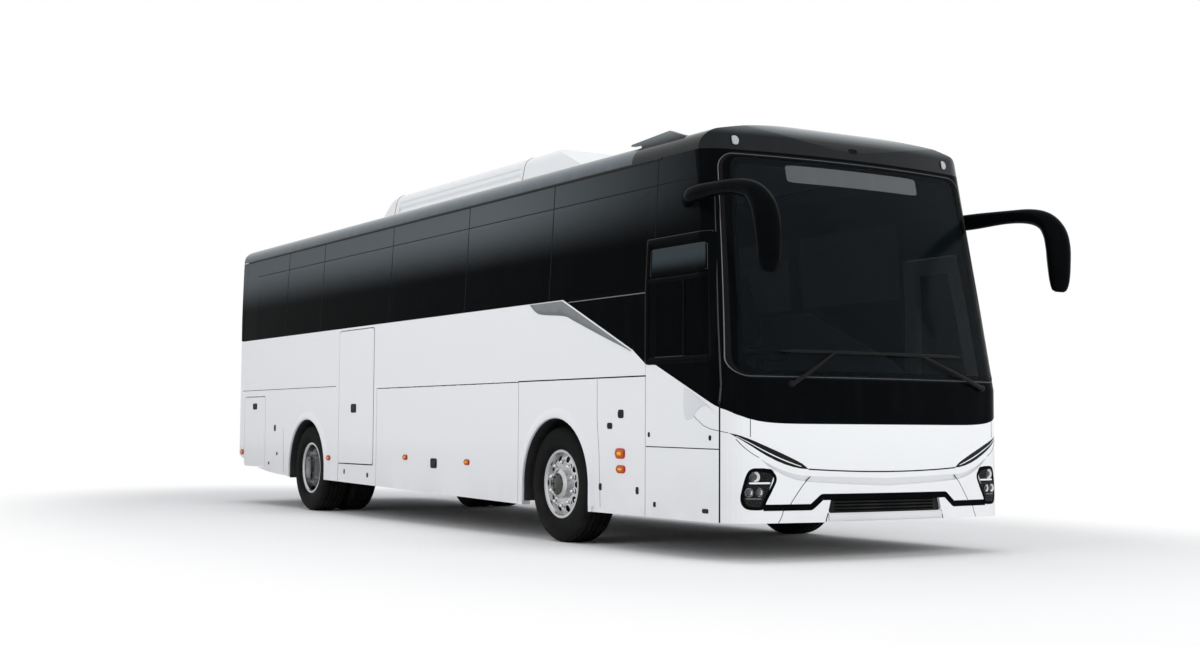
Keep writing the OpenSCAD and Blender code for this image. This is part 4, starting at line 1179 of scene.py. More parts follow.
@dataclass
class Front:
    """Lamps, light lines, display, wipers, screen bead and bumper trim on the nose."""

    crease: float = 0.594
    crease_rise: float = 0.020
    slash_in: float = 0.662
    slash_out: float = 1.201
    slash_rise: float = 0.235
    slash_high: float = 0.064
    lamp: tuple = ((0.905, 0.618), (1.100, 0.618), (1.145, 0.355), (1.000, 0.355))
    # y, z, radius of each lamp bowl
    bowls: tuple = ((1.055, 0.564, 0.038), (1.093, 0.463, 0.030), (1.025, 0.463, 0.030))
    step_half: float = 1.020
    channel: tuple = ((1.000, 0.362), (0.640, 0.362), (0.555, 0.428), (0.0, 0.428))
    # outline of the black lamp surround
    surround: tuple = (
        (1.101, 0.606), (1.028, 0.624), (0.945, 0.612), (0.902, 0.560), (0.936, 0.480), (0.984, 0.395),
        (1.000, 0.352), (1.061, 0.346), (1.122, 0.356), (1.147, 0.400), (1.140, 0.480),
    )
    surround_share: float = 0.915
    lamp_corner: float = 0.036
    lamp_middle: Pair = (1.01, 0.4865)
    lamp_slant: float = -0.25
    lamp_half: float = 0.1295
    # y, z, length, height of level plates
    display: tuple = (0.0, 2.648, 1.20, 0.125)
    grille: tuple = (0.0, 0.3705, 0.95, 0.094)
    light_bar: tuple = (1.0225, 0.5235, 0.150, 0.012)
    foot_bar: tuple = (1.065, 0.421, 0.105, 0.010)
    lip_half: float = 0.506
    lip_span: Pair = (0.264, 0.317)
    screen: tuple = ((-1.214, 1.228), (1.214, 1.228), (1.105, 2.765), (-1.105, 2.765))
    screen_corner: float = 0.115
    # y, z along the joint between the mask and the side
    pillar: tuple = ((1.235, 1.045), (1.215, 1.526), (1.196, 1.850), (1.173, 2.178), (1.150, 2.480))
    # pivot and blade middle of each wiper: y, z, y, z
    wipers: tuple = ((-0.800, 1.178, -0.430, 1.400), (0.950, 1.178, 0.330, 1.400))
    blade_half: float = 0.43
    # y, z along each joint of a side of the nose, and its width
    seams: tuple = (
        (((0.648, 0.565), (0.70, 0.515), (0.77, 0.425), (0.806, 0.375)), 0.005),
        (((0.852, 0.348), (0.868, 0.300), (0.890, 0.262)), 0.005),
        (((0.508, 0.322), (0.520, 0.290), (0.527, 0.262)), 0.008),
        (((1.091, 0.826), (1.091, 0.946)), 0.004),
        (((1.030, 0.690), (1.085, 0.722), (1.135, 0.765), (1.172, 0.812)), 0.004),
    )

    def build(self) -> None:
        """Makes every piece of the nose."""
        for side in Side:
            self._headlamp(side)
        put("slash_lines", both(self._slash), WHITE_LINE)
        put("destination_display", ribbon(nose_skin, *pill(*self.display, 14.0), 0.0015), DISPLAY)
        # the step's fill is in the greyer white of painted shade
        put("bumper_step", self._step(), SHADED_WHITE)
        put("bumper_channel", both(self._channel), BLACK)
        backing = ribbon(sunk(nose_skin, 0.0445), *pill(*self.grille, 20.0), 0.0, 0.0, 0.008)
        put("grille_backing", backing, SHADOW)
        # the lip is in the greyer white of painted shade
        y = np.linspace(-self.lip_half, self.lip_half, 60)
        edges = [np.stack([y, 0 * y + z], -1) for z in self.lip_span]
        put("bumper_lip", ribbon(nose_skin, *edges, 0.0006, 0.011), SHADED_WHITE)
        put("bumper_seams", self._seams(), SHADOW)
        outline = rounded(self.screen, self.screen_corner)
        loop = run([*outline, outline[0]], 361)[:-1]
        put("screen_bead", rail(nose_skin, loop, 0.005, 0.003, True), TRIM)
        put("screen_seal", rail(nose_skin, loop * [0.985, 1.0], 0.024, 0.0012, True), SHADOW)
        put("pillar_joints", both(self._pillar_joint), PLASTIC)
        self._wipers()

    def _pillar_joint(self, side: Side) -> Shape:
        """Joint between the mask and a side of the coach."""
        return rail(nose_skin, spline(self.pillar, 60) * [side.value, 1], 0.005, 0.0012)

    def crease_z(self, y: Array) -> Array:
        """Height of the crease: a slow rise to the slash lamps, then a power curve up under them.

        Args:
            y: places across the nose.

        Returns:
            The height at each place.
        """
        y = np.abs(y)
        share = np.clip((y - self.slash_in) / (self.slash_out - self.slash_in), 0, 2)
        slow = self.crease_rise * np.minimum(y / self.slash_in, 1)
        return self.crease + slow + self.slash_rise * share**1.8

    def _slash(self, side: Side) -> Shape:
        """Light line inside the slash lamp: a thin band a third of the way up its wedge.

        Args:
            side: which side of the coach.

        Returns:
            Points and faces.
        """
        t = np.linspace(0.10, 0.94, 36)
        y = self.slash_in + (self.slash_out - self.slash_in) * t
        rise = self.slash_high * np.sin(math.pi * t**0.85) ** 0.75
        low = np.stack([side.value * y, self.crease_z(y) + 0.38 * rise], -1)
        high = np.stack([side.value * y, self.crease_z(y) + 0.49 * rise], -1)
        return ribbon(nose_skin, low, high, -0.003, 0.001, 0.012)

    def _headlamp(self, side: Side) -> None:
        """One head lamp: bowls with projector lenses, light bars, an inner rim and a clear cover.

        Args:
            side: which side of the coach.
        """
        name = side.name.lower()
        mirrored = np.array([side.value, 1])
        facing = aimed((0.97, 0.24 * side.value, 0.0))
        rim = [(0.85, 0.010), (0.96, 0.0155), (0.985, 0.0155), (0.985, 0.0)]
        bowl = np.array([(0.0, 0.001), (0.3, 0.001), (0.6, 0.004), *rim])
        dome = np.array([(0.0, 0.016), (0.25, 0.0153), (0.45, 0.012), (0.56, 0.006), (0.58, 0.001)])
        bowls, lenses = [], []
        for y, z, radius in self.bowls:
            spot = nose_skin(np.array([side.value * y]), np.array([z]), -0.0215)
            bowls.append(repeat(turned(bowl * [radius, 1], 40), spot, facing))
            lenses.append(repeat(turned(dome * [radius, 1], 32), spot, facing))
        put(f"lamp_bowls_{name}", join(bowls), CHROME)
        put(f"lamp_lenses_{name}", join(lenses), PROJECTOR)
        put(f"light_bar_{name}", self._bar(side, self.light_bar), WHITE_LINE)
        put(f"lamp_foot_bar_{name}", self._bar(side, self.foot_bar), TRIM)
        points = np.array(self.surround)
        lead = 3
        count = 200
        first = int(count / (len(points) + lead - 1))
        ring = run(spline(np.vstack([points, points[:lead]]), count)[first:], 161)
        ring = points.mean(0) + (ring - points.mean(0)) * self.surround_share
        put(f"lamp_surround_{name}", rail(nose_skin, ring[:-1] * mirrored, 0.021, 0.0014, True), BLACK)
        put(f"lamp_cover_{name}", self._cover(side), COVER)

    def _bar(self, side: Side, spec: tuple) -> Shape:
        """Level bar in a head lamp, just under the skin."""
        y, *rest = spec
        return ribbon(nose_skin, *pill(side.value * y, *rest, 6.0), -0.003, 0.001, 0.01)

    def _cover(self, side: Side) -> Shape:
        """Clear cover: the lamp's outline filled from edge to edge at every height, just under the skin.

        Args:
            side: which side of the coach.

        Returns:
            Points and faces.
        """
        outline = rounded(self.lamp, self.lamp_corner)
        middle_y, middle_z = self.lamp_middle
        z = middle_z + self.lamp_half * np.sin(np.linspace(-1, 1, 41) * math.pi / 2)
        inner = outline[:, 0] < middle_y + (outline[:, 1] - middle_z) * self.lamp_slant
        edges = []
        for half, ease in ((inner, 0.001), (~inner, -0.001)):
            part = outline[half][np.argsort(outline[half, 1])]
            y = np.interp(z, part[:, 1], part[:, 0]) + ease
            edges.append(np.stack([side.value * y, z], -1))
        return ribbon(nose_skin, *edges, -0.0008, 0.0, 0.003)

    def _step(self) -> Shape:
        """Fill of the bumper's step, in a greyer white that paints the step's shade.

        Its face starts flush under the lip, sinks evenly by 13 mm on the way down and turns out again to the
        skin over the last sixth; the step is as high as an ellipse over its width.

        Returns:
            Points and faces.
        """
        t = np.sin(np.linspace(-1, 1, 121) * math.pi / 2)[:, None] * 0.998
        v = np.array([0.0, 0.05, 0.10, 0.17, 0.3, 0.5, 0.7, 0.9, 1.0])[None]
        y = self.step_half * t + 0 * v
        top = self.crease_z(y) - 0.045
        z = top - 0.052 * np.sqrt(1 - t**2) * (1 - v)
        sink = 0.013 * np.minimum((1 - v) / 0.83, v / 0.17) + 0.0004
        return shell_of(nose_skin(y, z, -sink), nose_skin(y, z, 0 * y - 0.0175))

    def _channel(self, side: Side) -> Shape:
        """Black bed of the channel from the head lamp along the bumper and over the grille.

        Args:
            side: which side of the coach.

        Returns:
            Points and faces.
        """
        path = run(self.channel, 90) * [side.value, 1]
        flank = [(0.0115, -0.003), (0.0122, 0.0018), (0.019, 0.0018), (0.021, 0.0006)]
        half = np.array([*flank, (0.021, -0.001), (0.0115, -0.012)])
        return strip(nose_skin, path, np.concatenate([half, (half * [-1, 1])[::-1]]))

    def _seams(self) -> Shape:
        """Joints of the nose: the crease line, slanting bumper joints, the lip's ends and upright joints.

        Returns:
            Points and faces.
        """
        y = np.linspace(-self.slash_in, self.slash_in, 81)
        crease = self.crease + self.crease_rise * (y / self.slash_in) ** 2
        parts = [rail(nose_skin, np.stack([y, crease], -1), 0.009, 0.0009)]
        for side in Side:
            for line, width in self.seams:
                parts.append(rail(nose_skin, spline(line, 24) * [side.value, 1], width, 0.0009))
        return join(parts)

    def _wipers(self) -> None:
        """Wipers: tapering arms from capped pivots, each with a sprung blade that lies along the screen."""
        arms, blades = [], []
        t = np.linspace(0, 1, 28)
        share = np.linspace(-1, 1, 60)
        taper = np.sqrt(1 - share**6) * 0.9 + 0.1
        cap = [(0.0, 0.040), (0.012, 0.039), (0.020, 0.034), (0.024, 0.024), (0.026, 0.0)]
        for foot_y, foot_z, y, z in self.wipers:
            line = run([(foot_y, foot_z), (y, z)], 28)
            path = nose_skin(line[:, 0], line[:, 1], 0.026 + 0.008 * np.sin(math.pi * t))
            arms.append(tube(path, 0.016 - 0.007 * t, 0.009 - 0.004 * t, (0, 0, 1)))
            spot = nose_skin(np.array([foot_y]), np.array([foot_z]), -0.004)
            arms.append(repeat(turned(cap, 28), spot, aimed((1.0, 0.0, 0.1))))
            along = y + self.blade_half * share
            spine = nose_skin(along, z + 0 * along, 0.020 + 0 * along)
            arms.append(tube(spine, 0.012 * taper, 0.006 * taper, (0, 0, 1), 12))
            edge = nose_skin(along, z - 0.002 + 0 * along, 0.009 + 0 * along)
            blades.append(tube(edge, 0.0035 * taper, 0.0085 * taper, (0, 0, 1), 10))
        put("wiper_arms", join(arms), SATIN, "wipers")
        put("wiper_blades", join(blades), RUBBER)


# Sides


@dataclass
class Sides:
    """Trim of both sides: pane lines, belt fin, cab window, seams, arches, markers and small fittings."""

    dividers: tuple = (2.52, 4.00, 5.60, 7.34, 8.38)
    pane_low: float = 1.871
    pane_line: float = 2.600
    pane_joint: float = 1.040
    pane_rear: float = 9.35
    drip: float = 2.790
    cab_rear: float = 1.110
    cab_low: float = 1.350
    cab_high: float = 2.190
    cab_bar: float = 1.915
    arch: float = 0.510
    belt_line: float = 1.841
    cab_sill: float = 1.375
    cab_post: float = 0.65
    # lowest point of the lips and of the liners, ahead of and behind the middle of the coach
    lip_low: Pair = (0.300, 0.342)
    liner_low: Pair = (0.300, 0.330)
    # x, z, length, height of each lens on the fixed panels
    markers: tuple = (
        (-2.275, 0.562, 0.09, 0.04), (3.315, 0.697, 0.115, 0.064), (3.325, 0.584, 0.105, 0.046),
        (-4.930, 0.583, 0.09, 0.05),
    )
    flap_markers: tuple = ((-0.400, 0.602, 0.085, 0.038), (0.860, 0.583, 0.085, 0.038))
    # x, z, length, height of small black fittings
    fittings: tuple = (
        (3.320, 0.983, 0.075, 0.062), (3.169, 0.896, 0.068, 0.046), (3.042, 0.449, 0.036, 0.052),
        (3.543, 0.438, 0.036, 0.052), (3.692, 0.836, 0.024, 0.034), (4.431, 0.818, 0.024, 0.034),
        (3.767, 0.350, 0.030, 0.036), (4.379, 0.332, 0.070, 0.030), (-3.857, 0.862, 0.050, 0.070),
        (-3.779, 0.580, 0.034, 0.034), (-4.034, 0.472, 0.034, 0.034), (-1.272, 0.414, 0.036, 0.044),
        (-1.852, 0.434, 0.026, 0.050),
    )
    # markers and fittings ahead of these places are on the right side alone
    left_markers_to: float = 3.0
    left_fittings_to: float = 3.6
    fin_low: tuple = (
        (2.82, 1.857), (2.74, 1.800), (2.62, 1.768), (2.28, 1.738), (2.12, 1.690), (1.70, 1.552),
        (1.32, 1.432),
    )
    fold: tuple = (
        (4.160, 1.070), (4.176, 1.032), (4.202, 0.994), (4.262, 0.951), (4.356, 0.900), (4.440, 0.877),
        (4.520, 0.864), (4.575, 0.853),
    )
    fold_edge: tuple = (
        (4.123, 1.160), (4.118, 1.060), (4.132, 0.965), (4.160, 0.936), (4.225, 0.950), (4.262, 0.990),
        (4.292, 1.028), (4.345, 1.040), (4.400, 1.025), (4.478, 0.985),
    )
    fold_top: tuple = ((4.123, 1.160), (4.230, 1.118), (4.345, 1.062), (4.420, 1.026), (4.478, 0.987))
    # x, z along each joint on both sides, and its width
    seams: tuple = (
        (((3.645, 1.25), (1.767, 1.25)), 0.010),
        (((-2.10, 1.287), (-4.95, 1.287)), 0.006),
        (((2.99, 1.24), (2.99, 0.95), (3.02, 0.70), (3.04, 0.30)), 0.004),
        (((4.518, 1.062), (4.518, 0.262)), 0.011),
    )
    # the same of the right side alone
    right_seams: tuple = (
        (((3.655, 0.752), (4.515, 0.744)), 0.007),
        (fold, 0.004),
        (((-1.147, 1.838), (-1.147, 0.515)), 0.008),
        (((-2.018, 0.512), (-1.150, 0.512)), 0.006),
        (((-2.018, 0.505), (-2.018, 0.335)), 0.005),
        (((-3.600, 0.860), (-3.560, 0.390)), 0.004),
    )
    locker_latch: tuple = (-1.638, 1.062, 0.13, 0.088)
    flap_latch: tuple = (0.205, 0.560, 0.13, 0.088)
    service_latch: tuple = (-4.520, 1.105, 0.13, 0.070)

    def build(self) -> None:
        """Makes every piece of side trim."""
        put("pane_lines", both(self._pane_lines), SHADOW)
        put("drip_rails", both(self._drip), SATIN)
        put("belt_fins", both(self._fin), SILVER)
        put("panel_seams", both(self._seams), SHADOW)
        # the fold is in the greyer white of painted shade
        put("corner_fold", self._fold(), SHADED_WHITE)
        put("belt_lines", both(self._belt_line), TRIM)
        put("cab_window_frame", self._cab_frame(), BLACK)
        put("cab_window_lines", self._cab_lines(), PLASTIC)
        put("cab_window_pane", self._cab_pane(), CAB_PANE)
        axles = (PLACE.front_axle, PLACE.rear_axle)
        put("arch_lips", join([self._lip(side, x) for side in Side for x in axles]), WHITE)
        put("arch_liners", join([self._liner(side, x) for side in Side for x in axles]), PLASTIC)
        self._lamps()
        self._small_fittings()

    def _pane_lines(self, side: Side) -> Shape:
        """Joints between the side panes and the level line under their tops.

        Args:
            side: which side of the coach.

        Returns:
            Points and faces.
        """
        skin = side_skin(side)
        top = PLACE.cove - 0.01
        parts = []
        for station in self.dividers:
            x = PLACE.at(station)
            parts.append(rail(skin, run([(x, self.pane_low), (x, top)], 24), 0.012, 0.0012))
        x = PLACE.at(self.pane_joint)
        parts.append(rail(skin, run([(x, self.cab_high + 0.025), (x, top)], 16), 0.010, 0.0012))
        ends = [(PLACE.at(self.pane_rear), self.pane_line), (self.cab_front(self.pane_line), self.pane_line)]
        return join([*parts, rail(skin, run(ends, 90), 0.007, 0.0012)])

    def _belt_line(self, side: Side) -> Shape:
        """Thin trim along the lower edge of the front pane, where the band slopes down under it."""
        ends = [(2.56, self.belt_line), (PLACE.at(self.cab_rear), self.belt_line)]
        return rail(side_skin(side), run(ends, 40), 0.007, 0.002)

    def cab_front(self, z: float) -> float:
        """X of the front edge of the driver's window at a height."""
        return 4.457 - 0.0938 * (z - 1.309)

    def _drip(self, side: Side) -> Shape:
        """Rail where the glass meets the roof, from the tail to the cap's front."""
        path = run([(PLACE.rear + 0.26, self.drip), (PLACE.at(1.0), self.drip)], 80)
        return rail(side_skin(side), path, 0.022, 0.006)

    def _fin(self, side: Side) -> Shape:
        """Silver accent under the belt.

        Its upper edge runs along the belt and then just under the band's slope; its lower edge follows a
        smooth curve through a few stations.

        Args:
            side: which side of the coach.

        Returns:
            Points and faces.
        """
        station = np.linspace(2.82, 1.32, 60)
        slope = PLACE.belt - 0.425 * (2.30 - station)
        high = np.minimum(PLACE.belt - 0.006, slope - 0.014)
        lower = spline(self.fin_low, 200)
        low = np.minimum(np.interp(-station, -lower[:, 0], lower[:, 1]), high - 0.001)
        x = PLACE.at(station)
        return ribbon(side_skin(side), np.stack([x, low], -1), np.stack([x, high], -1), 0.001, 0.007)

    def _seams(self, side: Side) -> Shape:
        """Thin joints of the panels: the mid line, the tail's crease line and lines round the arches."""
        lines = self.seams + (self.right_seams if side is Side.RIGHT else ())
        return join([rail(side_skin(side), run(line, 40), width, 0.0009) for line, width in lines])

    def _fold(self) -> Shape:
        """Pressed leaf on the cab's corner: flush at its lower edge, standing out towards its upper edge; its
        greyer white is painted shade.

        Returns:
            Points and faces.
        """
        low, high = spline(self.fold_edge, 60), spline(self.fold_top, 60)
        up = np.linspace(0, 1, 10)[None, :, None]
        flat = low[:, None] * (1 - up) + high[:, None] * up
        skin = side_skin(Side.RIGHT)
        raised = 0.0006 + 0.008 * np.sin(np.linspace(0, 1, 60) * math.pi)[:, None] * up[..., 0] ** 1.5
        return shell_of(*(skin(flat[..., 0], flat[..., 1], stand) for stand in (raised, 0 * raised - 0.002)))

    def _cab_frame(self) -> Shape:
        """Frame of the driver's window with the bar under its upper pane and the post of its sliding pane.

        Returns:
            Points and faces.
        """
        rear = PLACE.at(self.cab_rear)
        low, high = self.cab_low, self.cab_high
        skin = side_skin(Side.RIGHT)
        corners = [(rear, low), (self.cab_front(low), low), (self.cab_front(high), high), (rear, high)]
        loop = run([*corners, corners[0]], 161)[:-1]
        bar = [(rear, self.cab_bar), (self.cab_front(self.cab_bar), self.cab_bar)]
        post = [(PLACE.at(self.cab_post), low), (PLACE.at(self.cab_post), self.cab_bar)]
        parts = [rail(skin, loop, 0.050, 0.010, True), rail(skin, run(bar, 30), 0.034, 0.008)]
        return join([*parts, rail(skin, run(post, 20), 0.026, 0.007)])

    def _cab_lines(self) -> Shape:
        """Thin edges of the driver's window: its outer edge, the upper pane's and the sliding pane's.

        Returns:
            Points and faces.
        """
        skin = side_skin(Side.RIGHT)
        spans = ((-0.026, self.cab_low, self.cab_high), (0.030, self.cab_bar + 0.025, self.cab_high - 0.030))
        lines = []
        for inset, low, high in spans:
            rear = PLACE.at(self.cab_rear) + inset
            fore = max(inset, 0.004)
            foot, head = low + inset * 0.5, high - inset
            front = [(self.cab_front(low) - fore, foot), (self.cab_front(high) - fore, head)]
            corners = [(rear, foot), *front, (rear, head), (rear, foot)]
            lines.append(rail(skin, run(corners, 161)[:-1], 0.005, 0.0025, True))
        ends = (PLACE.at(self.cab_rear) + 0.10, PLACE.at(self.cab_post - 0.02))
        sill = run([(x, self.cab_sill) for x in ends], 30)
        return join([*lines, rail(skin, sill, 0.006, 0.0025)])

    def _cab_pane(self) -> Shape:
        """Upper pane of the driver's window, filled between its bar and its head.

        Returns:
            Points and faces.
        """
        x = np.linspace(0, 1, 24)
        edges = []
        for z in (self.cab_bar + 0.030, self.cab_high - 0.050):
            rear, fore = PLACE.at(self.cab_rear) + 0.050, self.cab_front(z) - 0.045
            edges.append(np.stack([rear + (fore - rear) * x, z + 0 * x], -1))
        return ribbon(side_skin(Side.RIGHT), *edges, 0.0035)

    def _arch_path(self, x: float, radius: float, low: float) -> Array:
        """Outline of an arch: up from the skirt, half round and down again.

        Args:
            x: X of the axle.
            radius: its radius.
            low: height of its feet.

        Returns:
            Points (x, z).
        """
        turn = np.linspace(0, math.pi, 60)
        half = np.stack([x + radius * np.cos(turn), PLACE.wheel + radius * np.sin(turn)], -1)
        legs = np.linspace(low, PLACE.wheel, 6)[:-1]
        fore = np.stack([0 * legs + x + radius, legs], -1)
        aft = np.stack([0 * legs + x - radius, legs[::-1]], -1)
        return np.concatenate([fore, half, aft])

    def _lip(self, side: Side, x: float) -> Shape:
        """Raised lip round an arch: steep at the opening, fading into the panel.

        Args:
            side: which side of the coach.
            x: X of the axle.

        Returns:
            Points and faces.
        """
        rise = [(0.002, -0.006), (0.002, 0.009), (-0.004, 0.0155), (-0.018, 0.0175), (-0.036, 0.0165)]
        fall = [(-0.052, 0.0135), (-0.064, 0.006), (-0.080, 0.0006), (-0.082, -0.003), (-0.004, -0.006)]
        path = self._arch_path(x, self.arch, self.lip_low[int(x < 0)])
        return strip(side_skin(side), path, rise + fall)

    def _liner(self, side: Side, x: float) -> Shape:
        """Dark liner of a wheel box: the arch carried inwards, wider behind the wall for a steered wheel.

        Args:
            side: which side of the coach.
            x: X of the axle.

        Returns:
            Points and faces.
        """
        depth = np.linspace(0, 1, 9)
        out = side.value * (PLACE.half_width - 0.005 - depth * 0.60)
        share = np.clip((depth - 0.12) / 0.25, 0, 1)[None, :, None]
        low = self.liner_low[int(x < 0)]
        near = self._arch_path(x, self.arch - 0.004, low)
        wide = self._arch_path(x, self.arch + 0.033, low)
        flat = near[:, None] * (1 - share) + wide[:, None] * share
        away = flat - [x, PLACE.wheel]
        thick = flat + 0.003 * away / np.linalg.norm(away, axis=-1, keepdims=True)
        sheets = [np.stack([f[..., 0], out + 0 * f[..., 0], f[..., 1]], -1) for f in (flat, thick)]
        return shell_of(*sheets)

    def _lens(self, side: Side, spec: tuple) -> tuple[Shape, Shape]:
        """Domed lens of a marker lamp and its dark base.

        Args:
            side: which side of the coach.
            spec: x, z, length and height.

        Returns:
            The lens and the base.
        """
        x, z, length, height = spec
        skin = side_skin(side)
        base = ribbon(skin, *pill(x, z, length + 0.012, height + 0.012, 4.0), 0.004, 0.002)
        return ribbon(skin, *pill(x, z, length, height, 4.0), 0.006, 0.007), base

    def _core(self, side: Side, spec: tuple) -> Shape:
        """Bright middle of a marker lens."""
        x, z, length, height = spec
        return ribbon(side_skin(side), *pill(x, z, length * 0.5, height * 0.5, 3.0), 0.0105, 0.004)

    @staticmethod
    def _fixed(specs: tuple, left_to: float) -> list[tuple[Side, tuple]]:
        """Small parts with their sides: all on the right side, on the left only those behind a place."""
        return [(side, spec) for side in Side for spec in specs if side is Side.RIGHT or spec[0] < left_to]

    def _lamps(self) -> None:
        """Marker lamps: those on fixed panels stand for the CAD lamps, those on the flaps ride on them."""
        fixed = self._fixed(self.markers, self.left_markers_to)
        lamps = [self._lens(side, marker) for side, marker in fixed]
        put("marker_lenses", join([lens for lens, _ in lamps]), AMBER, "side_lamps")
        put("marker_bases", join([base for _, base in lamps]), RED)
        put("marker_cores", join([self._core(side, marker) for side, marker in fixed]), CORE)
        for side, body in ((Side.RIGHT, Body.FLAP_RIGHT), (Side.LEFT, Body.FLAP_LEFT)):
            name = side.name.lower()
            on_flap = [self._lens(side, m) for m in self.flap_markers]
            put(f"flap_lenses_{name}", join([lens for lens, _ in on_flap]), AMBER, body=body)
            put(f"flap_lens_bases_{name}", join([base for _, base in on_flap]), RED, body=body)
            cores = [self._core(side, marker) for marker in self.flap_markers]
            put(f"flap_lens_cores_{name}", join(cores), CORE, body=body)

    def _plate(self, side: Side, spec: tuple) -> Shape:
        """Small black plate with a domed face."""
        return ribbon(side_skin(side), *pill(*spec), 0.002, 0.002)

    def _latch(self, side: Side, spec: tuple) -> Shape:
        """Paddle latch: a frame round a tilted paddle.

        Args:
            side: which side of the coach.
            spec: x, z, length and height.

        Returns:
            Points and faces.
        """
        x, z, length, height = spec
        skin = side_skin(side)
        frame = rail(skin, loop_of(pill(x, z, length - 0.012, height - 0.012, 8.0)), 0.012, 0.005, True)
        paddle = ribbon(skin, *pill(x, z - 0.008, length - 0.036, height - 0.044, 6.0), 0.001, 0.006)
        bed = ribbon(skin, *pill(x, z, length - 0.012, height - 0.012, 8.0), 0.0005)
        return join([frame, paddle, bed])

    def _small_fittings(self) -> None:
        """Vents, caps, slots and latches, each on the body that carries it."""
        fixed = self._fixed(self.fittings, self.left_fittings_to)
        put("side_fittings", join([self._plate(side, fitting) for side, fitting in fixed]), SATIN)
        put("locker_latch", self._latch(Side.RIGHT, self.locker_latch), SATIN, body=Body.LOCKER)
        put("service_latch", self._latch(Side.RIGHT, self.service_latch), SATIN, body=Body.SERVICE)
        put("flap_latch_right", self._latch(Side.RIGHT, self.flap_latch), SATIN, body=Body.FLAP_RIGHT)
        put("flap_latch_left", self._latch(Side.LEFT, self.flap_latch), SATIN, body=Body.FLAP_LEFT)


# Roof


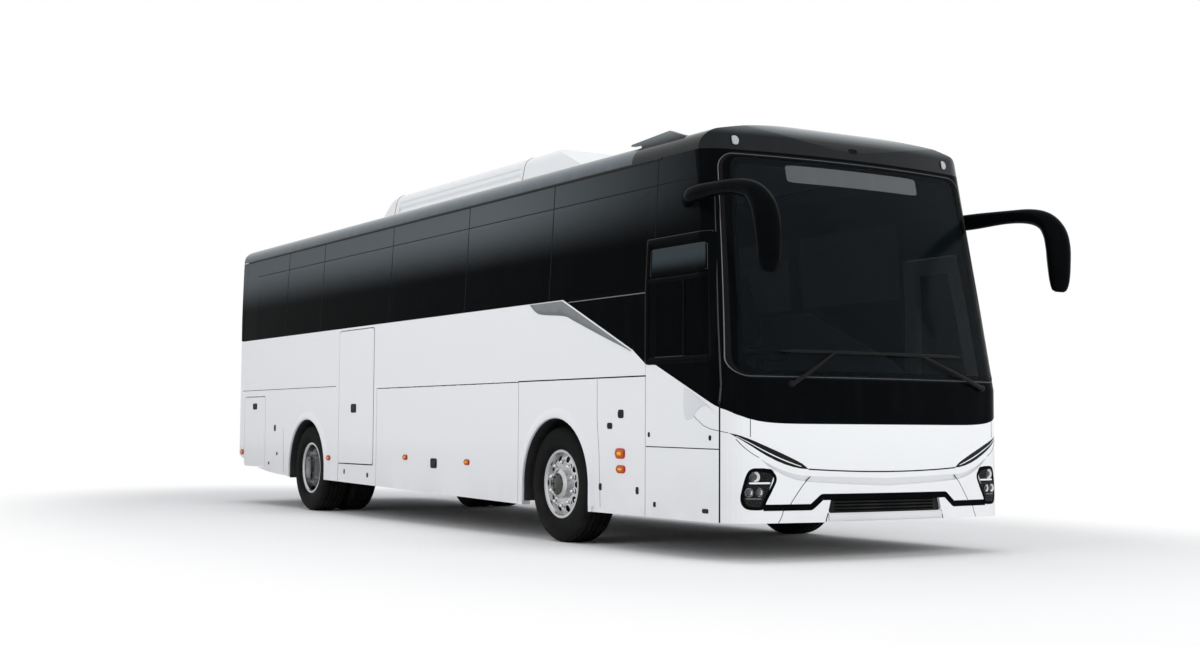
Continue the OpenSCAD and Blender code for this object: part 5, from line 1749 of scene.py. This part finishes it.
@dataclass
class Roof:
    """Lamps of the front cap and the fans, side panels and joints of the air-conditioning unit."""

    top: float = 3.240
    fans: tuple = (-1.355, -0.695, -0.035, 0.625)
    fan_radius: float = 0.230
    recess: tuple = (-1.632, 0.922, 2.993, 3.142)
    joints: tuple = (0.98, -1.72)
    seam_x: tuple = (-2.0, 2.2)
    seam_y: float = 1.054
    seam_z: float = 2.9465
    cap_lamp: Pair = (0.965, 2.862)
    sensor: Pair = (0.02, 2.864)
    guard_rings: tuple = (0.055, 0.098, 0.141, 0.184, 0.227)
    blades: int = 7

    def build(self) -> None:
        """Makes the pieces of the roof."""
        y, z = self.cap_lamp
        spots = [(side.value * y, z) for side in Side]
        lenses = [ribbon(nose_skin, *pill(*spot, 0.050, 0.064, 3.0), 0.004, 0.006) for spot in spots]
        bases = [ribbon(nose_skin, *pill(*spot, 0.066, 0.080, 3.0), 0.002, 0.002) for spot in spots]
        put("cap_lamps", join(lenses), CLEAR)
        put("cap_lamp_bases", join(bases), SATIN)
        rim = rail(nose_skin, loop_of(pill(*self.sensor, 0.070, 0.026, 2.5)), 0.010, 0.005, True)
        face = ribbon(nose_skin, *pill(*self.sensor, 0.064, 0.020, 2.5), 0.001)
        put("cap_sensor", join([rim, face]), SHADOW)
        places = np.array([[x, 0.0, self.top] for x in self.fans])
        put("fan_guards", repeat(self._guard(), places), SATIN)
        put("fan_blades", repeat(self._blades(), places), PLASTIC)
        put("unit_panels", both(self._panel), UNIT)
        put("unit_joints", join([self._joint(x) for x in self.joints]), SHADOW)
        put("roof_joints", both(self._seam), SHADOW)

    def _seam(self, side: Side) -> Shape:
        """Cord of sealant along the joint between the roof and its rail."""
        path = run([(x, side.value * self.seam_y, self.seam_z) for x in self.seam_x], 60)
        return tube(path, 0.005, 0.005, (0, 1, 0), 8)

    def _guard(self) -> Shape:
        """Fan guard: wire rings of growing radius on crossing wires, in the well's mouth.

        Returns:
            Points and faces.
        """
        turn = np.linspace(0, 2 * math.pi, 9)
        wire = np.stack([np.cos(turn), np.sin(turn)], -1) * 0.0035
        rings = [turned(wire + [radius, -0.006], 48) for radius in self.guard_rings]
        reach = np.linspace(-1, 1, 9)[:, None] * (self.fan_radius - 0.001)
        spokes = []
        for angle in np.arange(3) * math.pi / 3:
            line = reach * [math.cos(angle), math.sin(angle), 0] + [0, 0, -0.011]
            spokes.append(tube(line, 0.004, 0.003, (0, 0, 1), 8))
        return join([*rings, *spokes])

    def _blades(self) -> Shape:
        """Fan blades round a hub: each is a sector whose leading edge stands higher than its trailing edge.

        Returns:
            Points and faces.
        """
        radius, sweep = np.meshgrid(np.linspace(0.05, 0.205, 8), np.linspace(0, 1, 8), indexing="ij")
        angle = sweep * 0.62 + 0.9 * (radius - 0.05)
        height = -0.031 + 0.013 * sweep + 0.004 * np.sin(math.pi * sweep)
        face = np.stack([radius * np.cos(angle), radius * np.sin(angle), height], -1)
        blade = shell_of(face, face - [0, 0, 0.002])
        cosine, sine, zero = circle(self.blades, 1.0).T
        rows = [cosine, -sine, zero, sine, cosine, zero, zero, zero, zero + 1]
        turns = np.stack(rows, -1).reshape(-1, 3, 3)
        hub = turned([(0.0, -0.013), (0.035, -0.014), (0.052, -0.019), (0.056, -0.036), (0.0, -0.036)], 32)
        return join([repeat(blade, np.zeros((self.blades, 3)), turns), hub])

    def _panel(self, side: Side) -> Shape:
        """Side panel in the unit's recess: it follows the leaning side, pressed in by two shallow waves.

        Args:
            side: which side of the coach.

        Returns:
            Points and faces.
        """
        x0, x1, z0, z1 = self.recess
        x, z = np.meshgrid(np.linspace(x0, x1, 60), np.linspace(z0, z1, 24), indexing="ij")
        lean = 0.81 - (z - 2.985) * 0.195
        share = math.pi * (z - z0) / (z1 - z0)
        wave = 0.006 * np.sin(share) * (1 + np.cos(4 * share))
        sheets = [np.stack([x, side.value * y, z], -1) for y in (lean - 0.001 - wave, lean - 0.030)]
        return shell_of(*sheets)

    def _joint(self, x: float) -> Shape:
        """Joint over the unit: a thin cord up one side, over the round shoulders and down the other.

        Args:
            x: X of the joint.

        Returns:
            Points and faces.
        """
        turn = np.radians(np.linspace(10, 90, 12))
        shoulder = np.stack([0.67 + 0.11 * np.cos(turn), 3.13 + 0.11 * np.sin(turn)], -1)
        half = np.concatenate([[[0.8155, 2.955], [0.8105, 2.985]], shoulder])
        path = run(np.concatenate([half, (half * [-1, 1])[::-1]]), 120)
        return tube(np.stack([0 * path[:, 0] + x, path[:, 0], path[:, 1]], -1), 0.0028, 0.0028, (1, 0, 0), 8)


# Rear


@dataclass
class Rear:
    """Lamp lenses, plate, latch, markers and joints of the tail."""

    corner: float = 0.200
    corner_x: float = -4.995
    corner_y: float = 1.050
    lamp_y: float = 1.045
    lamp_radius: float = 0.060
    plate: Pair = (0.0, 1.440)
    latch: Pair = (0.0, 1.250)
    marker: Pair = (0.98, 2.725)
    joint_half: float = 1.04
    joints: tuple = (1.655, 1.820)
    red: tuple = (1.415, 1.270)
    turn: tuple = (1.125,)
    reverse: tuple = (0.980,)

    def build(self) -> None:
        """Makes the pieces of the tail."""
        rows = (("tail_lenses", RED, self.red), ("turn_lenses", AMBER, self.turn))
        for name, finish, heights in (*rows, ("reverse_lenses", CLEAR, self.reverse)):
            put(name, join([self._lens(side, z) for side in Side for z in heights]), finish)
        put("tail_corners", both(self._wrap), BAND)
        heights = sorted(self.red + self.turn + self.reverse)
        rims = [self._lens(side, z, True) for side in Side for z in heights]
        put("tail_lamp_rims", join(rims), TRIM)
        plate = ribbon(rear_skin, *pill(*self.plate, 0.520, 0.112, 16.0), 0.004)
        put("rear_plate", plate, PLATE, body=Body.LID)
        frame = rail(rear_skin, loop_of(pill(*self.plate, 0.536, 0.128, 16.0)), 0.016, 0.008, True)
        y, z = self.latch
        latch = rail(rear_skin, loop_of(pill(y, z, 0.150, 0.070, 8.0)), 0.012, 0.005, True)
        paddle = ribbon(rear_skin, *pill(y, z - 0.007, 0.125, 0.040, 6.0), 0.001, 0.008)
        put("lid_fittings", join([frame, latch, paddle]), SATIN, body=Body.LID)
        put("rear_markers", both(self._marker), RED)
        lines = [run([(-self.joint_half, z), (self.joint_half, z)], 50) for z in self.joints]
        put("rear_joints", join([rail(rear_skin, line, 0.006, 0.0009) for line in lines]), SHADOW)

    def _marker(self, side: Side) -> Shape:
        """Domed marker lens high on the rear wall."""
        y, z = self.marker
        return ribbon(rear_skin, *pill(side.value * y, z, 0.085, 0.034, 4.0), 0.004, 0.007)

    def _wrap(self, side: Side) -> Shape:
        """Black wrap of a tail corner above the belt.

        It is the plan's corner arc at every height, held inside the leaning side and tail, 1.5 mm out.

        Args:
            side: which side of the coach.

        Returns:
            Points and faces.
        """
        turn = np.radians(np.linspace(84, 176, 48))[:, None]
        z = np.linspace(PLACE.belt + 0.008, PLACE.cove - 0.006, 30)[None]
        sheets = []
        for lift in (0.0015, -0.003):
            x = self.corner_x + (self.corner + lift) * np.cos(turn) + 0 * z
            y = self.corner_y + (self.corner + lift) * np.sin(turn) + 0 * z
            x = np.maximum(x, PLACE.back(0 * z, z) - lift)
            y = np.minimum(y, PLACE.side(z) + lift)
            sheets.append(np.stack([x, side.value * y, z + 0 * x], -1))
        return shell_of(*sheets)

    def _lens(self, side: Side, z: float, rim: bool = False) -> Shape:
        """Round domed lens on a tail lamp, or the rim round it.

        Args:
            side: which side of the coach.
            z: height of its middle.
            rim: whether it is the rim.

        Returns:
            Points and faces.
        """
        r = self.lamp_radius
        dome = [(0.0, 0.016), (0.3 * r, 0.015), (0.6 * r, 0.012), (0.85 * r, 0.007), (0.97 * r, 0.001)]
        ring = [(r, -0.006), (r, 0.004), (r + 0.003, 0.006), (r + 0.007, 0.004), (r + 0.008, -0.006)]
        spot = rear_skin(np.array([side.value * self.lamp_y]), np.array([z]), -0.002)
        section = [*(ring if rim else dome), (r, -0.006)]
        return repeat(turned(section, 40), spot, aimed((-1.0, 0.0, 0.0)))


# Passenger door


@dataclass
class Door:
    """Black frame of the passenger door's glass, its grip and its lower joint."""

    rear: float = 1.124
    front: float = 0.326
    low: float = 1.085
    high: float = 2.193
    glass_rear: float = 1.038
    glass_front: float = 0.402
    glass_low: float = 1.132
    glass_high: float = 2.118
    grip: float = 0.440
    joint: float = 0.748

    def build(self) -> None:
        """Makes the pieces that ride on the door."""
        skin = side_skin(Side.LEFT)
        head = self.front + (self.high - PLACE.rake_base) * math.tan(PLACE.rake)
        parts = [
            ribbon(skin, self._upright(self.rear), self._upright(self.glass_rear), 0.0012),
            ribbon(skin, self._upright(self.glass_front, True), self._upright(self.front, True), 0.0012),
            ribbon(skin, self._level(self.glass_high, head), self._level(self.high, head), 0.0013),
            ribbon(skin, self._level(self.low, self.front), self._level(self.glass_low, self.front), 0.0013),
        ]
        put("door_frame_black", join(parts), BLACK, body=Body.DOOR)
        x = PLACE.at(self.grip)
        grip = rail(skin, loop_of(pill(x, 1.000, 0.060, 0.120, 6.0)), 0.012, 0.006, True)
        paddle = ribbon(skin, *pill(x, 0.992, 0.044, 0.070), 0.001, 0.008)
        put("door_grip", join([grip, paddle]), SATIN, body=Body.DOOR)
        joint = run([(PLACE.at(1.12), self.joint), (PLACE.at(0.33), self.joint)], 40)
        put("door_joint", rail(skin, joint, 0.006, 0.0009), SHADOW, body=Body.DOOR)

    def _upright(self, station: float, raked: bool = False) -> Array:
        """Edge up the door at a station, leaning back with the nose above its foot where it is raked.

        Args:
            station: its place behind the nose.
            raked: whether it leans back.

        Returns:
            Points (x, z).
        """
        z = np.linspace(self.low, self.high, 24)
        lean = np.maximum(z - PLACE.rake_base, 0) * math.tan(PLACE.rake) * raked
        return np.stack([PLACE.at(station) - lean, z], -1)

    def _level(self, height: float, stop: float) -> Array:
        """Level edge from the door's rear edge to a station."""
        return run([(PLACE.at(self.rear), height), (PLACE.at(stop), height)], 24)


# Seats


def sewn(away: Array, width: float) -> Array:
    """Bell of height one round a seam, by the distance from it."""
    return np.exp(-((away / width) ** 2))


@dataclass
class Pad:
    """A stuffed pad: a round-cornered block, swollen by cloth pressure and bent by a rule."""

    half: Triple
    bend: Callable[[Array], Array]
    voxel: float
    cap: float = 0.018
    power: float = 5.0
    pressure: float = 4.0
    frames: int = 20
    still: float = 0.03
    rows: int = 41
    columns: int = 64

    def shape(self) -> Shape:
        """Runs the simulation on one pad.

        The block is |x/a|^p + |y/b|^p + |z/c|^p = 1, sampled over directions; its underside keeps still.

        Returns:
            Points and faces.
        """
        tilt = np.linspace(-math.pi / 2, math.pi / 2, self.rows)[:, None]
        turn = np.linspace(0, 2 * math.pi, self.columns, False)[None]
        level = np.cos(tilt)
        ray = np.stack([level * np.cos(turn), level * np.sin(turn), np.sin(tilt) + 0 * turn], -1)
        reach = (np.abs(ray / np.array(self.half)) ** self.power).sum(-1, keepdims=True) ** (-1 / self.power)
        mesh = bpy.data.meshes.new("pad")
        faces = quads(self.rows, self.columns, False, True)
        mesh.from_pydata((ray * reach).reshape(-1, 3).tolist(), [], faces.tolist())
        pad = bpy.data.objects.new("pad", mesh)
        bpy.context.scene.collection.objects.link(pad)
        remesh = pad.modifiers.new("even", "REMESH")
        remesh.mode = "VOXEL"
        remesh.voxel_size = self.voxel
        graph = bpy.context.evaluated_depsgraph_get()
        even = bpy.data.meshes.new_from_object(pad.evaluated_get(graph))
        pad.modifiers.clear()
        pad.data = even
        start = self._points(even)
        corners = np.empty(len(even.loops), np.int32)
        even.loops.foreach_get("vertex_index", corners)
        step = self._swell(pad, start) * np.clip((start[:, 2:] + self.half[2]) / self.still, 0, 1)
        length = np.linalg.norm(step, axis=1, keepdims=True)
        step *= np.minimum(1, self.cap / np.maximum(length, 1e-9))
        bpy.data.objects.remove(pad)
        return self.bend(start + step), corners.reshape(-1, 4)

    @staticmethod
    def _points(mesh: bpy.types.Mesh) -> Array:
        """Places of a mesh's points.

        Args:
            mesh: the mesh.

        Returns:
            A row for each point.
        """
        flat = np.empty(3 * len(mesh.vertices), np.float32)
        mesh.vertices.foreach_get("co", flat)
        return flat.reshape(-1, 3).astype(float)

    def _swell(self, pad: Object, start: Array) -> Array:
        """How far each point moves under pressure.

        Args:
            pad: the pad's object.
            start: its points at rest.

        Returns:
            The move of each point.
        """
        scene = bpy.context.scene
        cloth = pad.modifiers.new("cloth", "CLOTH")
        cloth.settings.use_pressure = True
        cloth.settings.uniform_pressure_force = self.pressure
        cloth.settings.effector_weights.gravity = 0.0
        cloth.settings.quality = 4
        for frame in range(1, self.frames + 1):
            scene.frame_set(frame)
        moved = pad.evaluated_get(bpy.context.evaluated_depsgraph_get()).data
        step = self._points(moved) - start
        scene.frame_set(1)
        return step


@dataclass
class Seats:
    """Seats of the saloon and the driver: swollen cushions and backs on tube frames."""

    rows: int = 9
    pitch: float = 0.745
    first: float = 2.850
    floor: float = 1.150
    columns: tuple = (-0.9125, -0.4375, 0.4375, 0.9125)
    driver: tuple = (1.500, -0.660, 0.800)

    def build(self) -> None:
        """Makes the cushions, the backs and the frames."""
        rows = PLACE.at(self.first) - self.pitch * np.arange(self.rows)
        saloon = np.array([[x, y, self.floor] for x in rows for y in self.columns])
        places = np.vstack([saloon, [[PLACE.at(self.driver[0]), *self.driver[1:]]]])
        cushion = Pad((0.240, 0.212, 0.050), self._cushion, 0.019).shape()
        back = Pad((0.052, 0.205, 0.330), self._back, 0.021).shape()
        put("seat_cushions", repeat(cushion, places), SEAT_CLOTH, "seat_bases")
        put("seat_back_pads", repeat(back, places), SEAT_CLOTH, "seat_backs")
        put("seat_frames", repeat(self._frame(), places), STEEL)

    @staticmethod
    def _cushion(points: Array) -> Array:
        """Places the cushion: hollowed to its middle, its front edge rolled down, with sewn channels.

        Args:
            points: points of the swollen block.

        Returns:
            Points of the cushion.
        """
        x, y, z = points.T
        upper = np.clip(z / 0.05, 0, 1)
        across, along = (np.cos(np.clip(share, -1, 1) * math.pi / 2) for share in (y / 0.212, x / 0.24))
        seam = sewn(np.abs(y) - 0.135, 0.009) + sewn(x - 0.14, 0.009)
        roll = 0.018 * np.clip((x - 0.15) / 0.09, 0, 1) ** 2
        press = upper * (0.014 * across * along + 0.007 * seam + roll)
        return np.stack([x + 0.215, y, z + 0.385 - press], -1)

    @staticmethod
    def _back(points: Array) -> Array:
        """Places the back: leaning to the rear, waisted under the headrest, with bolsters and seams.

        Args:
            points: points of the swollen block.

        Returns:
            Points of the back.
        """
        x, y, z = points.T
        up = z / 0.33
        waist = 1 - 0.16 * sewn(up - 0.52, 0.13) - 0.06 * np.clip(up, 0, 1)
        front = np.clip(x / 0.04, 0, 1)
        outer, low = np.clip((np.abs(y) - 0.10) / 0.08, 0, 1), np.clip(1 - np.abs(up + 0.25) / 0.6, 0, 1)
        bolster = 0.016 * outer * low
        seam = 0.008 * (sewn(np.abs(y) - 0.115, 0.009) + sewn(up - 0.52, 0.03))
        shift = front * (bolster - seam + 0.018 * sewn(up + 0.45, 0.35)) - 0.105 - 0.262 * z
        return np.stack([x + shift, y * waist, z + 0.775], -1)

    @staticmethod
    def _frame() -> Shape:
        """Frame of one seat: a leg with a foot bar and two rails that bend up behind the back.

        Returns:
            Points and faces.
        """
        leg = spline([(0.215, 0.0, 0.012), (0.205, 0.0, 0.10), (0.200, 0.0, 0.25), (0.205, 0.0, 0.325)], 20)
        foot = run([(0.070, 0.0, 0.016), (0.420, 0.0, 0.016)], 16)
        cross = run([(0.205, -0.150, 0.322), (0.205, 0.150, 0.322)], 8)
        bent = [(0.425, 0, 0.328), (0.20, 0, 0.322), (0.0, 0, 0.330), (-0.055, 0, 0.40), (-0.105, 0, 0.56)]
        base = spline([*bent, (-0.165, 0, 0.80)], 40)
        rails = [tube(base + [0, y, 0], 0.012, 0.012, (0, 1, 0), 10) for y in (-0.13, 0.13)]
        stand = [tube(leg, 0.026, 0.040, (0, 1, 0), 14), tube(foot, 0.030, 0.015, (0, 1, 0), 12)]
        return join([*stand, *rails, tube(cross, 0.014, 0.014, (1, 0, 0), 10)])


# Studio and CAD nodes


@dataclass
class Stage:
    """Camera, lights, floor and background."""

    eye: Triple = (13.101, -7.414, 0.878)
    yaw: float = math.radians(31.453)
    pitch: float = math.radians(3.779)
    roll: float = math.radians(0.3205)
    lens: float = 47.83
    sensor: float = 36.0
    floor_reach: float = 60.0

    def build(self) -> None:
        """Sets up the camera, the world, the lamps and the floor."""
        scene = bpy.context.scene
        scene.view_settings.view_transform = "Standard"
        self._camera(scene)
        self._world(scene)
        self._lamps(scene)
        self._floor()

    def _camera(self, scene: Scene) -> None:
        """Camera at the photograph's place, from its yaw, pitch and roll.

        Args:
            scene: the scene.
        """
        data = bpy.data.cameras.new("camera")
        data.sensor_width = self.sensor
        data.lens = self.lens
        data.clip_end = 200.0
        level = math.cos(self.pitch)
        look = Vector((-math.cos(self.yaw) * level, math.sin(self.yaw) * level, math.sin(self.pitch)))
        right = look.cross(Vector((0, 0, 1))).normalized()
        up = right.cross(look)
        x_axis = right * math.cos(self.roll) + up * math.sin(self.roll)
        y_axis = up * math.cos(self.roll) - right * math.sin(self.roll)
        turn = Matrix((x_axis, y_axis, -look)).transposed().to_4x4()
        camera = bpy.data.objects.new("camera", data)
        camera.matrix_world = Matrix.Translation(Vector(self.eye)) @ turn
        scene.collection.objects.link(camera)
        scene.camera = camera

    def _world(self, scene: Scene) -> None:
        """White where the camera, metal or glass sees it; plain soft light on the object.

        Args:
            scene: the scene.
        """
        kit = ShaderKit(bpy.data.worlds.new("studio"))
        path = kit.node("ShaderNodeLightPath")
        soft = kit.node("ShaderNodeBackground", None, {"Color": (0.94, 0.96, 1.0), "Strength": 0.50})
        seen = kit.node("ShaderNodeBackground", None, {"Color": (1.0, 1.0, 1.0), "Strength": 1.0})
        kinds = ("Camera", "Glossy", "Transmission")
        camera, glossy, through = (Val(kit, path.outputs[f"Is {kind} Ray"]) for kind in kinds)
        direct = camera + glossy + through
        both = kit.node("ShaderNodeMixShader", None, {0: direct, 1: soft.outputs[0], 2: seen.outputs[0]})
        kit.node("ShaderNodeOutputWorld", None, {"Surface": both.outputs[0]})
        scene.world = kit.owner

    def _lamps(self, scene: Scene) -> None:
        """Three large soft panels: over the roof, at the right side and ahead of the nose.

        Args:
            scene: the scene.
        """
        table = [
            ("over", (0.0, -1.0, 12.0), (0.0, 0.0, 1.0), 14.0, 640.0),
            ("right", (3.0, -14.0, 7.0), (0.0, 0.0, 1.2), 10.0, 520.0),
            ("ahead", (15.0, 3.0, 5.0), (3.0, 0.0, 1.2), 8.0, 700.0),
        ]
        for name, place, aim, size, power in table:
            data = bpy.data.lights.new(name, "AREA")
            data.size = size
            data.energy = power
            lamp = bpy.data.objects.new(name, data)
            lamp.location = place
            lamp.rotation_euler = (Vector(aim) - Vector(place)).to_track_quat("-Z", "Y").to_euler()
            lamp.visible_glossy = False
            scene.collection.objects.link(lamp)

    def _floor(self) -> None:
        """White floor that keeps the coach's shadow and fades to plain white away from it."""
        kit = ShaderKit(bpy.data.materials.new("studio_floor"))
        path = kit.node("ShaderNodeLightPath")
        oval = {0: kit.place((0.105, 0.22, 1.0))}
        far = kit.node("ShaderNodeVectorMath", {"operation": "LENGTH"}, oval).outputs["Value"]
        fade = Val(kit, far).smooth(0.72, 1.15)
        diffuse = kit.node("ShaderNodeBsdfDiffuse", None, {"Color": (0.93, 0.93, 0.93)})
        glow = kit.node("ShaderNodeEmission", None, {"Color": (1.0, 1.0, 1.0), "Strength": 1.0})
        seen = Val(kit, path.outputs["Is Camera Ray"]) + Val(kit, path.outputs["Is Transmission Ray"])
        both_looks = {0: fade * seen, 1: diffuse.outputs[0], 2: glow.outputs[0]}
        mixed = kit.node("ShaderNodeMixShader", None, both_looks)
        kit.node("ShaderNodeOutputMaterial", None, {"Surface": mixed.outputs[0]})
        reach = self.floor_reach
        corners = [(-reach, -reach, 0), (reach, -reach, 0), (reach, reach, 0), (-reach, reach, 0)]
        mesh = bpy.data.meshes.new("floor")
        mesh.from_pydata(corners, [], [[0, 1, 2, 3]])
        mesh.materials.append(kit.owner)
        floor = bpy.data.objects.new("studio_floor", mesh)
        bpy.context.scene.collection.objects.link(floor)


# finish of each CAD node, by the start of its name
NODE_FINISHES: dict[Finish, tuple[str, ...]] = {
    WHITE: (
        "belt_panel", "skirt_panels", "roof", "rear_wall", "front_panel", "front_bumper", "passenger_door",
        "luggage_flap", "engine_lid", "service_door", "locker_door",
    ),
    BAND: ("window_band",),
    CAP: ("front_cap",),
    BLACK: ("front_mask",),
    RAIL: ("roof_rails",),
    GLASS: ("side_glass", "rear_window", "passenger_door_glass"),
    SCREEN: ("windscreen",),
    UNIT: ("roof_unit",),
    SATIN: ("front_lamps", "grille", "mirrors"),
    RED: ("rear_lamps",),
    AMBER: ("side_lamps",),
    PLASTIC: ("wipers", "dashboard", "steering_wheel"),
    SEAT_CLOTH: ("seat_bases", "seat_backs"),
    SHEET: ("entrance_steps", "floor", "luggage_bay"),
    STEEL: ("wheel_boxes", "front_axle", "rear_axle", "tie_rod", "door_arm", "chassis"),
    CAST: ("engine", "knuckle"),
    RUBBER: ("tyre",),
    RIM: ("rim",),
}


@dataclass
class Shell:
    """CAD nodes that stay in view."""

    nodes: dict[str, Object]

    def dress(self) -> None:
        """Gives each node the finish with the longest matching name."""
        starts = {start: finish for finish, names in NODE_FINISHES.items() for start in names}
        for name, node in self.nodes.items():
            key = max((start for start in starts if name.startswith(start)), key=len)
            node.data.materials.clear()
            node.data.materials.append(material(starts[key]))
        LOG.info("dressed %d CAD nodes", len(self.nodes))


def main() -> None:
    """Builds the coach's looks."""
    logging.basicConfig(level=logging.INFO, format="%(message)s")
    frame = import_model()
    Stage().build()
    Shell(frame["nodes"]).dress()
    front, rear = (PLACE.front_axle, False, 0.0975), (PLACE.rear_axle, True, -0.1435)
    wheels = [
        Wheel("front_right", "tyre_front_right", Body.FRONT_RIGHT, Side.RIGHT, *front),
        Wheel("front_left", "tyre_front_left", Body.FRONT_LEFT, Side.LEFT, *front),
        Wheel("rear_right", "tyres_rear_right", Body.REAR_RIGHT, Side.RIGHT, *rear),
        Wheel("rear_left", "tyres_rear_left", Body.REAR_LEFT, Side.LEFT, *rear),
    ]
    for wheel in wheels:
        wheel.build()
    add_mirrors()
    Front().build()
    Sides().build()
    Roof().build()
    Rear().build()
    Door().build()
    Seats().build()


if __name__ == "__main__":
    main()
